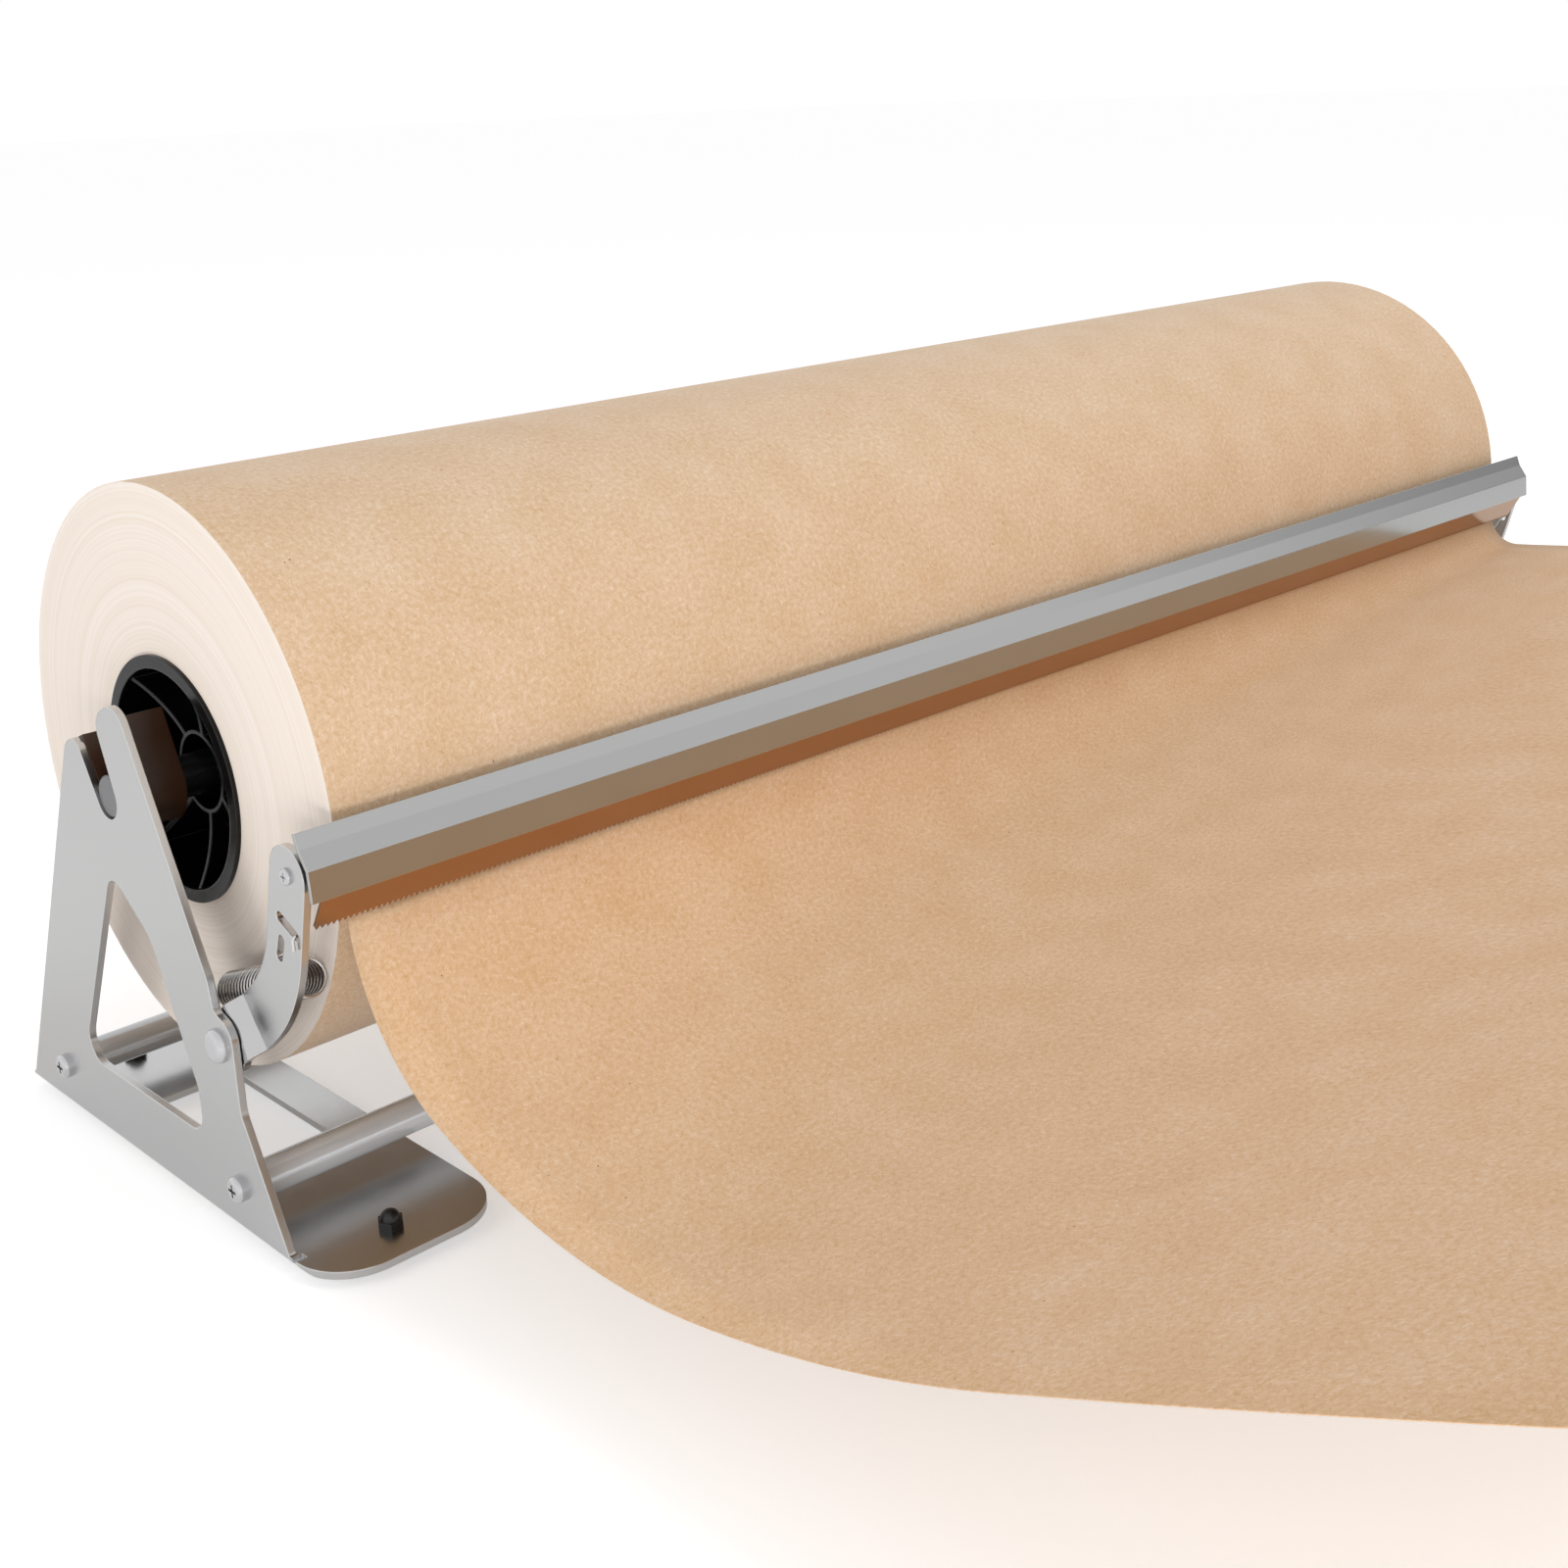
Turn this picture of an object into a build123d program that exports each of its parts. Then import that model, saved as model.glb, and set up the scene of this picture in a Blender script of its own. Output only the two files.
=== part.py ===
from build123d import *
import math
import os

os.makedirs("parts", exist_ok=True)

# Sizes are in millimetres and degrees. Forward, rise and drop are taken from the axle centre.
# Standoff is ahead of the roll's front, and inset is behind it.

# Paper roll
ROLL_WIDTH = 914.4
ROLL_RADIUS = 129.5
CORE_WALL = 4.2

# Fits and one overrun for every cut
FIT = 0.05
AXLE_FIT = 0.08
FACE_GAP = 0.5
OVERRUN = 5.0

# End frames
FRAME_STANDOFF = 31.8
SHEET = 3.4
BEND_RADIUS = 1.5
EDGE_BEND_RADIUS = 3.0
AXLE_RISE = 174.7
PLATE_FRONT = 115.4
PLATE_REAR = 125.8
PLATE_CORNER = 3.0
REAR_LOBE_BACK = 34.0
REAR_LOBE_TOP = 17.4
REAR_LOBE_RADIUS = 10.0
REAR_TIP_RADIUS = 7.0
FRONT_LOBE_FORWARD = 19.1
FRONT_LOBE_TOP = 47.2
FRONT_LOBE_RADIUS = 11.0
FRONT_TIP_RADIUS = 10.0
SHOULDER_FORWARD = 71.3
SHOULDER_DROP = 61.5
SHOULDER_RADIUS = 15.0
NECK_FORWARD = 73.6
NECK_DROP = 75.0
NECK_RADIUS = 4.5
PIVOT_FORWARD = 74.5
PIVOT_DROP = 89.8
EAR_REACH = 12.1
EAR_RISE = 10.6
EAR_RADIUS = 10.0
EAR_FALL = 27.2
EAR_FALL_RADIUS = 15.0

# Inclined axle notch
NOTCH_TILT = 24.4
MOUTH_RISE = 50.0
MOUTH_RADIUS = 13.5

# Triangular window in each end frame
WINDOW_TOP_BACK = 7.0
WINDOW_TOP_DROP = 34.5
WINDOW_TOP_RADIUS = 9.0
WINDOW_BACK = 60.5
WINDOW_BACK_RADIUS = 11.0
WINDOW_DROP = 139.6
WINDOW_FORWARD = 51.5
WINDOW_FORWARD_RADIUS = 10.0
WINDOW_KNEE_DROP = 118.0
WINDOW_KNEE_RADIUS = 15.0
WINDOW_HIP_FORWARD = 24.2
WINDOW_HIP_DROP = 57.0
WINDOW_HIP_RADIUS = 25.0

# Foot pads folded inward from each end frame
PAD_WIDTH = 88.0
PAD_FRONT = 146.0
PAD_CORNER = 27.0
PAD_FRONT_DEPTH = 96.0
PAD_REAR_DEPTH = 74.8
PAD_STRIP = 21.0
PAD_WEB = 6.0
PAD_WINDOW_CORNER = 4.0
RELIEF_RADIUS = 1.8

# Rubber feet, studs and cap nuts
FOOT_HEIGHT = 5.0
FOOT_RADIUS = 12.0
FOOT_CHAMFER = 1.0
FOOT_INSET = 42.0
FOOT_SETBACK = 22.0
STUD_RADIUS = 3.0
STUD_FLOOR = 2.0
STUD_RISE = 5.0
CAP_NUT_ACROSS = 10.0
CAP_NUT_HEX = 3.4
CAP_NUT_DOME = 4.3
CAP_NUT_DOME_RISE = 4.2
CAP_NUT_DOME_ROUND = 4.0

# Tie bars and their screws
TIE_RADIUS = 8.0
FRONT_TIE_FORWARD = 77.8
REAR_TIE_BACK = 84.5
TIE_DROP = 154.2
TIE_CHAMFER = 0.6
TIE_SCREW_RADIUS = 3.0
TIE_SCREW_LENGTH = 18.0
TIE_HOLE_DEPTH = 24.0
TIE_HEAD_RADIUS = 5.8
TIE_HEAD_HEIGHT = 3.8
HEAD_ROUND_SHARE = 0.62
RECESS_LENGTH_SHARE = 1.05
RECESS_WIDTH_SHARE = 0.24
RECESS_DEPTH_SHARE = 0.55

# Steel axle and its moulded saddles
AXLE_RADIUS = 9.4
AXLE_SETBACK = 1.0
AXLE_CHAMFER = 1.0
SADDLE_RADIUS = 16.5
SADDLE_RISE = 30.0
SADDLE_LENGTH = 25.2

# Moulded core plugs
PLUG_LIP = 0.2
PLUG_FLANGE = 2.0
PLUG_LENGTH = 42.0
DISH_RADIUS = 49.4
PLUG_WALL = 1.35
DISH_DEPTH = 34.0
HUB_RADIUS = 18.8
HUB_BORE_RADIUS = 17.0
HUB_DEPTH = 12.2
RIB_COUNT = 7
RIB_START = 53.0
RIB_WIDTH = 2.4
RIB_SAG = 2.0
RIDGE_COUNT = 12
RIDGE_WIDTH = 1.8
RIDGE_SETBACK = 14.0

# Cutter bar, folded in facets that follow each other downward
BAR_SETBACK = 0.5
BAR_SHEET = 1.6
BAR_TOP_STANDOFF = 7.1
BAR_TOP_RISE = 15.1
BAR_TOP_FACET = 6.6
BAR_TOP_TILT = 20.4
BAR_MIDDLE_FACET = 9.0
BAR_MIDDLE_TILT = 36.0
BAR_LOWER_FACET = 13.0
BAR_LOWER_TILT = 4.6
TAB_RADIUS = 9.0

# Serrated blade
BLADE_SHEET = 1.0
BLADE_LEG = 10.5
BLADE_DROP = 17.6
BLADE_TILT = 30.5
TOOTH_PITCH = 2.54
TOOTH_DEPTH = 2.2

# Cutter arms
ARM_SETBACK = 10.0
ARM_SCREW_INSET = 0.8
ARM_SCREW_DROP = 4.0
ARM_WIDTH = 24.8
ARM_KNEE_INSET = 15.0
ARM_KNEE_DROP = 57.0
ARM_KNEE_RADIUS = 70.0
ARM_EAR_RADIUS = 14.0
JOGGLE_TILT = 38.1
JOGGLE_START = 11.8
JOGGLE_RUN = 6.2
JOGGLE_RADIUS = 2.5
UPPER_SLOT_BACK_INSET = 10.0
UPPER_SLOT_BACK_DROP = 23.3
UPPER_SLOT_FRONT_STANDOFF = 0.9
UPPER_SLOT_FRONT_DROP = 28.3
LOWER_SLOT_TOP_INSET = 10.9
LOWER_SLOT_TOP_DROP = 33.6
LOWER_SLOT_END_INSET = 13.6
LOWER_SLOT_END_DROP = 40.8
SLOT_WIDTH = 4.6

# Arm screws, nuts and pivot rivets
ARM_SCREW_RADIUS = 2.0
ARM_HEAD_RADIUS = 3.5
ARM_HEAD_HEIGHT = 1.6
ARM_NUT_ACROSS = 7.0
ARM_NUT_HEIGHT = 3.2
ARM_SCREW_TAIL = 1.0
RIVET_RADIUS = 4.0
RIVET_HEAD_RADIUS = 7.5
RIVET_HEAD_HEIGHT = 3.6
RIVET_HEAD_ROUND = 3.3
RIVET_TAIL_RADIUS = 6.0
RIVET_TAIL_HEIGHT = 2.0
RIVET_GAP = 0.3

# Extension springs and their posts
WIRE_RADIUS = 0.7
COIL_RADIUS = 7.8
COIL_TURNS = 24
COIL_FRONT_SETBACK = 12.75
COIL_FRONT_INSET = 20.2
COIL_FRONT_DROP = 56.9
COIL_REAR_SETBACK = 11.9
COIL_REAR_FORWARD = 51.0
COIL_REAR_DROP = 80.1
POST_RADIUS = 2.5
POST_FORWARD = 45.0
POST_DROP = 84.0
POST_HEAD_RADIUS = 4.5
POST_HEAD = 2.0
POST_CLEAR = 2.2
LOOP_CLEAR = 0.35
HOOK_CLEAR = 0.6
HOOK_BEND = 1.7
HOOK_LEG = 12.0
HOOK_TIP = 4.0

# Drawn sheet, which leaves the roll behind the teeth
PAPER = 0.4
PAPER_CLEAR = 0.4
WRAP_ANGLE = 12.0
LEAVE_ANGLE = 3.0
LEFT_TEETH_STANDOFF = 2.7
LEFT_TEETH_DROP = 27.0
LEFT_FOLD_STANDOFF = 55.5
LEFT_FOLD_DROP = 99.5
LEFT_SAG_FORWARD = 330.0
LEFT_SAG_DROP = 117.0
LEFT_RISE_FORWARD = 460.0
LEFT_RISE_DROP = 78.8
LEFT_END_FORWARD = 655.0
LEFT_END_RISE = 9.0
RIGHT_TEETH_STANDOFF = 1.5
RIGHT_TEETH_DROP = 23.0
RIGHT_FOLD_STANDOFF = 22.5
RIGHT_FOLD_DROP = 41.5
RIGHT_SAG_FORWARD = 230.0
RIGHT_SAG_DROP = 32.0
RIGHT_RISE_FORWARD = 460.0
RIGHT_RISE_RISE = 14.0
RIGHT_END_FORWARD = 706.0
RIGHT_END_RISE = 62.0

# Places that follow from the sizes
AXLE_Z = FOOT_HEIGHT + AXLE_RISE
AXLE_Y = (RIGHT_END_FORWARD - max(ROLL_RADIUS, PLATE_REAR)) / 2
ROLL_HALF = ROLL_WIDTH / 2
FRAME_HALF = ROLL_HALF + FRAME_STANDOFF
FRAME_INNER = FRAME_HALF - SHEET
CORE_BORE_RADIUS = DISH_RADIUS + PLUG_WALL + FIT
CORE_RADIUS = CORE_BORE_RADIUS + CORE_WALL
PLUG_FLANGE_RADIUS = CORE_RADIUS + PLUG_LIP
RIB_END = (DISH_RADIUS + CORE_BORE_RADIUS) / 2
NOTCH_RADIUS = AXLE_RADIUS + AXLE_FIT
ARM_FACE = FRAME_HALF - ARM_SETBACK
ARM_INNER = ARM_FACE - SHEET
BAR_HALF = ARM_FACE - BAR_SETBACK
BLADE_HALF = ARM_INNER - BAR_SHEET - FACE_GAP
COIL_FRONT_FACE = ARM_FACE - COIL_FRONT_SETBACK
COIL_REAR_FACE = ARM_FACE - COIL_REAR_SETBACK
EAR_FACE = FRAME_INNER - FACE_GAP
EAR_INNER = EAR_FACE - SHEET
PIVOT = (-PIVOT_FORWARD, -PIVOT_DROP)
ARM_SCREW = (ARM_SCREW_INSET - ROLL_RADIUS, -ARM_SCREW_DROP)
ARM_KNEE = (ARM_KNEE_INSET - ROLL_RADIUS, -ARM_KNEE_DROP)
UPPER_SLOT_BACK = (UPPER_SLOT_BACK_INSET - ROLL_RADIUS, -UPPER_SLOT_BACK_DROP)
UPPER_SLOT_FRONT = (-ROLL_RADIUS - UPPER_SLOT_FRONT_STANDOFF, -UPPER_SLOT_FRONT_DROP)
LOWER_SLOT_TOP = (LOWER_SLOT_TOP_INSET - ROLL_RADIUS, -LOWER_SLOT_TOP_DROP)
LOWER_SLOT_END = (LOWER_SLOT_END_INSET - ROLL_RADIUS, -LOWER_SLOT_END_DROP)
POST = (-POST_FORWARD, -POST_DROP)
TIES = ((-FRONT_TIE_FORWARD, -TIE_DROP), (REAR_TIE_BACK, -TIE_DROP))
FOOT_SPOTS = [
    (side * (FRAME_HALF - FOOT_INSET), AXLE_Y + ahead)
    for side in (-1, 1)
    for ahead in (FOOT_SETBACK - PAD_FRONT, PLATE_REAR - FOOT_SETBACK)
]

# Upright plane through the axle centre, first axis to the back and second axis up
axle_plane = Plane(origin=(0, AXLE_Y, AXLE_Z), x_dir=(0, 1, 0), z_dir=(1, 0, 0))
notch_turn = math.radians(NOTCH_TILT)
notch_plane = Plane(
    origin=(0, AXLE_Y, AXLE_Z),
    x_dir=(0, math.cos(notch_turn), -math.sin(notch_turn)),
    z_dir=(1, 0, 0),
)


def place(x, spot):
    """Turn a spot seen from the axle into a point of the whole object."""
    return Vector(x, AXLE_Y + spot[0], AXLE_Z + spot[1])


def outward(side, x, spot):
    """Plane on a side face whose normal points away from the middle."""
    return Plane(origin=place(side * x, spot), x_dir=(0, 1, 0), z_dir=(side, 0, 0))


# Notch outline, used by the end frame and by the saddle
with BuildSketch() as notch_outline:
    Circle(NOTCH_RADIUS)
    with Locations((0, MOUTH_RISE)):
        Circle(MOUTH_RADIUS)
    make_hull()

# End frames
with BuildPart() as left_end_frame:
    with BuildSketch(axle_plane.offset(-FRAME_HALF)):
        with BuildLine():
            FilletPolyline(
                (-PLATE_FRONT, -AXLE_RISE),
                (PLATE_REAR, -AXLE_RISE),
                (REAR_LOBE_BACK, REAR_LOBE_TOP),
                (-FRONT_LOBE_FORWARD, FRONT_LOBE_TOP),
                (-SHOULDER_FORWARD, -SHOULDER_DROP),
                (-NECK_FORWARD, -NECK_DROP),
                (-PIVOT_FORWARD - EAR_REACH, EAR_RISE - PIVOT_DROP),
                (-PIVOT_FORWARD - EAR_REACH, -PIVOT_DROP - EAR_FALL),
                radius=[
                    PLATE_CORNER,
                    PLATE_CORNER,
                    REAR_LOBE_RADIUS,
                    FRONT_LOBE_RADIUS,
                    SHOULDER_RADIUS,
                    NECK_RADIUS,
                    EAR_RADIUS,
                    EAR_FALL_RADIUS,
                ],
                close=True,
            )
        make_face()
        with BuildLine():
            FilletPolyline(
                (WINDOW_TOP_BACK, -WINDOW_TOP_DROP),
                (WINDOW_BACK, -WINDOW_DROP),
                (-WINDOW_FORWARD, -WINDOW_DROP),
                (-WINDOW_FORWARD, -WINDOW_KNEE_DROP),
                (-WINDOW_HIP_FORWARD, -WINDOW_HIP_DROP),
                radius=[
                    WINDOW_TOP_RADIUS,
                    WINDOW_BACK_RADIUS,
                    WINDOW_FORWARD_RADIUS,
                    WINDOW_KNEE_RADIUS,
                    WINDOW_HIP_RADIUS,
                ],
                close=True,
            )
        make_face(mode=Mode.SUBTRACT)
        with Locations(PIVOT):
            Circle(RIVET_RADIUS + FIT, mode=Mode.SUBTRACT)
        with Locations(*TIES):
            Circle(TIE_SCREW_RADIUS + FIT, mode=Mode.SUBTRACT)
    extrude(amount=SHEET)
    with BuildSketch(notch_plane.offset(-FRAME_HALF)):
        add(notch_outline.sketch)
    extrude(amount=SHEET, mode=Mode.SUBTRACT)
    tips = [
        edge
        for edge in left_end_frame.edges().filter_by(Axis.X).sort_by(Axis.Y)
        if abs(notch_plane.to_local_coords(edge.center()).X) < MOUTH_RADIUS
        and notch_plane.to_local_coords(edge.center()).Y > NOTCH_RADIUS
    ]
    fillet(tips[0], FRONT_TIP_RADIUS)
    fillet(left_end_frame.edges().filter_by(Axis.X).sort_by_distance(tips[-1].center())[0], REAR_TIP_RADIUS)
    with BuildSketch(Plane.XY.offset(FOOT_HEIGHT)) as pad_outline:
        with Locations((-FRAME_HALF, AXLE_Y - PAD_FRONT)):
            Rectangle(PAD_WIDTH, PAD_FRONT + PLATE_REAR, align=(Align.MIN, Align.MIN))
        rear_fold = (-FRAME_HALF, AXLE_Y + PLATE_REAR, 0)
        fillet(pad_outline.vertices().sort_by_distance(rear_fold)[1:], PAD_CORNER)
    extrude(amount=SHEET)
    with BuildSketch(Plane.XZ.offset(SHEET - AXLE_Y - PLATE_REAR)):
        with Locations((-FRAME_INNER, FOOT_HEIGHT + SHEET)):
            Rectangle(BEND_RADIUS, BEND_RADIUS, align=(Align.MIN, Align.MIN))
        with Locations((BEND_RADIUS - FRAME_INNER, FOOT_HEIGHT + SHEET + BEND_RADIUS)):
            Circle(BEND_RADIUS, mode=Mode.SUBTRACT)
    extrude(amount=PLATE_FRONT + PLATE_REAR - 2 * SHEET)
    with BuildSketch(Plane.XZ.offset(-AXLE_Y - PLATE_REAR)):
        with Locations((-FRAME_HALF, FOOT_HEIGHT)):
            Rectangle(EDGE_BEND_RADIUS, EDGE_BEND_RADIUS, align=(Align.MIN, Align.MIN))
        with Locations((EDGE_BEND_RADIUS - FRAME_HALF, FOOT_HEIGHT + EDGE_BEND_RADIUS)):
            Circle(EDGE_BEND_RADIUS, mode=Mode.SUBTRACT)
    extrude(amount=PAD_FRONT + PLATE_REAR, mode=Mode.SUBTRACT)
    with BuildSketch(Plane.XY.offset(FOOT_HEIGHT)):
        with Locations((SHEET + PAD_WEB - FRAME_HALF, AXLE_Y - PAD_FRONT + PAD_FRONT_DEPTH)):
            RectangleRounded(
                PAD_WIDTH - SHEET - PAD_WEB - PAD_STRIP,
                PAD_FRONT + PLATE_REAR - PAD_FRONT_DEPTH - PAD_REAR_DEPTH,
                PAD_WINDOW_CORNER,
                align=(Align.MIN, Align.MIN),
            )
        with Locations(*[spot for spot in FOOT_SPOTS if spot[0] < 0]):
            Circle(STUD_RADIUS + FIT)
        with Locations((SHEET / 2 - FRAME_HALF, AXLE_Y - PLATE_FRONT - RELIEF_RADIUS)):
            Rectangle(2 * SHEET, 2 * RELIEF_RADIUS)
    extrude(amount=SHEET, mode=Mode.SUBTRACT)
left_end_frame.part.label = "left_end_frame"
export_step(left_end_frame.part, "parts/left_end_frame.step")

with BuildPart() as right_end_frame:
    mirror(left_end_frame.part, about=Plane.YZ)
right_end_frame.part.label = "right_end_frame"
export_step(right_end_frame.part, "parts/right_end_frame.step")

# Tie bars, tapped at both ends
with BuildPart() as front_tie_bar:
    with BuildSketch(axle_plane.offset(-FRAME_INNER)):
        with Locations(TIES[0]):
            Circle(TIE_RADIUS)
    extrude(amount=2 * FRAME_INNER)
    chamfer(front_tie_bar.edges().filter_by(GeomType.CIRCLE), TIE_CHAMFER)
    for side in (-1, 1):
        with BuildSketch(outward(side, FRAME_INNER, TIES[0])):
            Circle(TIE_SCREW_RADIUS + FIT)
        extrude(amount=-TIE_HOLE_DEPTH, mode=Mode.SUBTRACT)
front_tie_bar.part.label = "front_tie_bar"
export_step(front_tie_bar.part, "parts/front_tie_bar.step")

with BuildPart() as rear_tie_bar:
    with Locations((0, FRONT_TIE_FORWARD + REAR_TIE_BACK, 0)):
        add(front_tie_bar.part)
rear_tie_bar.part.label = "rear_tie_bar"
export_step(rear_tie_bar.part, "parts/rear_tie_bar.step")


# Pan-head screw with a cross recess, seated on its own plane
def pan_screw(head_radius, head_height, radius, length):
    """Cut one cross-recessed pan-head screw, head above the plane and shank below it."""
    with BuildPart() as screw:
        Cylinder(head_radius, head_height, align=(Align.CENTER, Align.CENTER, Align.MIN))
        fillet(screw.edges().sort_by(Axis.Z)[-1], head_height * HEAD_ROUND_SHARE)
        Cylinder(radius, length, align=(Align.CENTER, Align.CENTER, Align.MAX))
        arm = head_radius * RECESS_LENGTH_SHARE
        slit = head_radius * RECESS_WIDTH_SHARE
        deep = head_height * RECESS_DEPTH_SHARE
        with Locations((0, 0, head_height - deep)):
            Box(arm, slit, head_height, align=(Align.CENTER, Align.CENTER, Align.MIN), mode=Mode.SUBTRACT)
            Box(slit, arm, head_height, align=(Align.CENTER, Align.CENTER, Align.MIN), mode=Mode.SUBTRACT)
    return screw.part


tie_screw = pan_screw(TIE_HEAD_RADIUS, TIE_HEAD_HEIGHT, TIE_SCREW_RADIUS, SHEET + TIE_SCREW_LENGTH)
with BuildPart() as tie_bar_screws:
    with Locations(*[outward(side, FRAME_HALF, spot) for side in (-1, 1) for spot in TIES]):
        add(tie_screw)
tie_bar_screws.part.label = "tie_bar_screws"
export_step(tie_bar_screws.part, "parts/tie_bar_screws.step")

# Rubber feet, their studs and the cap nuts above the pads
with BuildPart() as rubber_feet:
    with Locations(*FOOT_SPOTS):
        Cylinder(FOOT_RADIUS, FOOT_HEIGHT, align=(Align.CENTER, Align.CENTER, Align.MIN))
    chamfer(rubber_feet.edges().group_by(Axis.Z)[0], FOOT_CHAMFER)
    with Locations(*[(x, y, STUD_FLOOR) for x, y in FOOT_SPOTS]):
        Cylinder(
            STUD_RADIUS + FIT,
            FOOT_HEIGHT,
            align=(Align.CENTER, Align.CENTER, Align.MIN),
            mode=Mode.SUBTRACT,
        )
rubber_feet.part.label = "rubber_feet"
export_step(rubber_feet.part, "parts/rubber_feet.step")

pad_top = FOOT_HEIGHT + SHEET
with BuildPart() as foot_studs:
    with Locations(*[(x, y, STUD_FLOOR) for x, y in FOOT_SPOTS]):
        Cylinder(
            STUD_RADIUS,
            pad_top + STUD_RISE - STUD_FLOOR,
            align=(Align.CENTER, Align.CENTER, Align.MIN),
        )
foot_studs.part.label = "foot_studs"
export_step(foot_studs.part, "parts/foot_studs.step")

with BuildPart() as cap_nut:
    with BuildSketch():
        RegularPolygon(CAP_NUT_ACROSS / 2, 6, major_radius=False)
    extrude(amount=CAP_NUT_HEX)
    with Locations((0, 0, CAP_NUT_HEX)):
        Cylinder(CAP_NUT_DOME, CAP_NUT_DOME_RISE, align=(Align.CENTER, Align.CENTER, Align.MIN))
    fillet(cap_nut.edges().sort_by(Axis.Z)[-1], CAP_NUT_DOME_ROUND)
    Cylinder(
        STUD_RADIUS + FIT,
        STUD_RISE + FACE_GAP,
        align=(Align.CENTER, Align.CENTER, Align.MIN),
        mode=Mode.SUBTRACT,
    )

with BuildPart() as foot_cap_nuts:
    with Locations(*[(x, y, pad_top) for x, y in FOOT_SPOTS]):
        add(cap_nut.part)
foot_cap_nuts.part.label = "foot_cap_nuts"
export_step(foot_cap_nuts.part, "parts/foot_cap_nuts.step")

# Saddles that line the notches behind the end frames
with BuildPart() as left_axle_saddle:
    with BuildSketch(notch_plane.offset(-FRAME_INNER)):
        Circle(SADDLE_RADIUS)
        Rectangle(2 * SADDLE_RADIUS, SADDLE_RISE, align=(Align.CENTER, Align.MIN))
        add(notch_outline.sketch, mode=Mode.SUBTRACT)
    extrude(amount=SADDLE_LENGTH)
left_axle_saddle.part.label = "left_axle_saddle"
export_step(left_axle_saddle.part, "parts/left_axle_saddle.step")

with BuildPart() as right_axle_saddle:
    mirror(left_axle_saddle.part, about=Plane.YZ)
right_axle_saddle.part.label = "right_axle_saddle"
export_step(right_axle_saddle.part, "parts/right_axle_saddle.step")

# Axle rod
with BuildPart() as axle_rod:
    with BuildSketch(axle_plane.offset(AXLE_SETBACK - FRAME_HALF)):
        Circle(AXLE_RADIUS)
    extrude(amount=2 * (FRAME_HALF - AXLE_SETBACK))
    chamfer(axle_rod.edges().filter_by(GeomType.CIRCLE), AXLE_CHAMFER)
axle_rod.part.label = "axle_rod"
export_step(axle_rod.part, "parts/axle_rod.step")

# Core plugs: flange, dish, hub, sloping ribs and gripping ridges
with BuildPart() as left_core_plug:
    with BuildSketch(axle_plane.offset(-ROLL_HALF - PLUG_FLANGE)):
        Circle(PLUG_FLANGE_RADIUS)
    extrude(amount=PLUG_FLANGE)
    with BuildSketch(axle_plane.offset(-ROLL_HALF)):
        Circle(CORE_BORE_RADIUS - FIT)
    extrude(amount=PLUG_LENGTH)
    with BuildSketch(axle_plane.offset(-ROLL_HALF - PLUG_FLANGE)):
        Circle(DISH_RADIUS)
    extrude(amount=PLUG_FLANGE + DISH_DEPTH, mode=Mode.SUBTRACT)
    with BuildSketch(axle_plane.offset(HUB_DEPTH - ROLL_HALF)):
        Circle(HUB_RADIUS)
    extrude(amount=DISH_DEPTH - HUB_DEPTH)
    for index in range(RIB_COUNT):
        turn = math.radians(RIB_START + index * 360 / RIB_COUNT)
        rib_plane = Plane(
            origin=(0, AXLE_Y, AXLE_Z),
            x_dir=(0, math.cos(turn), math.sin(turn)),
            z_dir=(0, math.sin(turn), -math.cos(turn)),
        )
        with BuildSketch(rib_plane):
            with BuildLine():
                SagittaArc((HUB_RADIUS, HUB_DEPTH - ROLL_HALF), (DISH_RADIUS, -ROLL_HALF), RIB_SAG)
                Polyline(
                    (DISH_RADIUS, -ROLL_HALF),
                    (RIB_END, -ROLL_HALF),
                    (RIB_END, DISH_DEPTH - ROLL_HALF),
                    (HUB_BORE_RADIUS, DISH_DEPTH - ROLL_HALF),
                    (HUB_BORE_RADIUS, HUB_DEPTH - ROLL_HALF),
                    (HUB_RADIUS, HUB_DEPTH - ROLL_HALF),
                )
            make_face()
        extrude(amount=RIB_WIDTH / 2, both=True)
    with BuildSketch(axle_plane.offset(HUB_DEPTH - ROLL_HALF)):
        Circle(HUB_BORE_RADIUS)
    extrude(amount=DISH_DEPTH - HUB_DEPTH, mode=Mode.SUBTRACT)
    with BuildSketch(axle_plane.offset(HUB_DEPTH + RIDGE_SETBACK - ROLL_HALF)):
        with PolarLocations(0, RIDGE_COUNT):
            Rectangle(HUB_RADIUS, RIDGE_WIDTH, align=(Align.MIN, Align.CENTER))
    extrude(amount=PLUG_LENGTH - HUB_DEPTH - RIDGE_SETBACK)
    with BuildSketch(axle_plane.offset(-ROLL_HALF)):
        Circle(AXLE_RADIUS + FIT)
    extrude(amount=PLUG_LENGTH, mode=Mode.SUBTRACT)
left_core_plug.part.label = "left_core_plug"
export_step(left_core_plug.part, "parts/left_core_plug.step")

with BuildPart() as right_core_plug:
    mirror(left_core_plug.part, about=Plane.YZ)
right_core_plug.part.label = "right_core_plug"
export_step(right_core_plug.part, "parts/right_core_plug.step")

# Core tube and the paper wound on it
with BuildPart() as core_tube:
    with BuildSketch(axle_plane.offset(-ROLL_HALF)):
        Circle(CORE_RADIUS)
        Circle(CORE_BORE_RADIUS, mode=Mode.SUBTRACT)
    extrude(amount=ROLL_WIDTH)
core_tube.part.label = "core_tube"
export_step(core_tube.part, "parts/core_tube.step")

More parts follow.
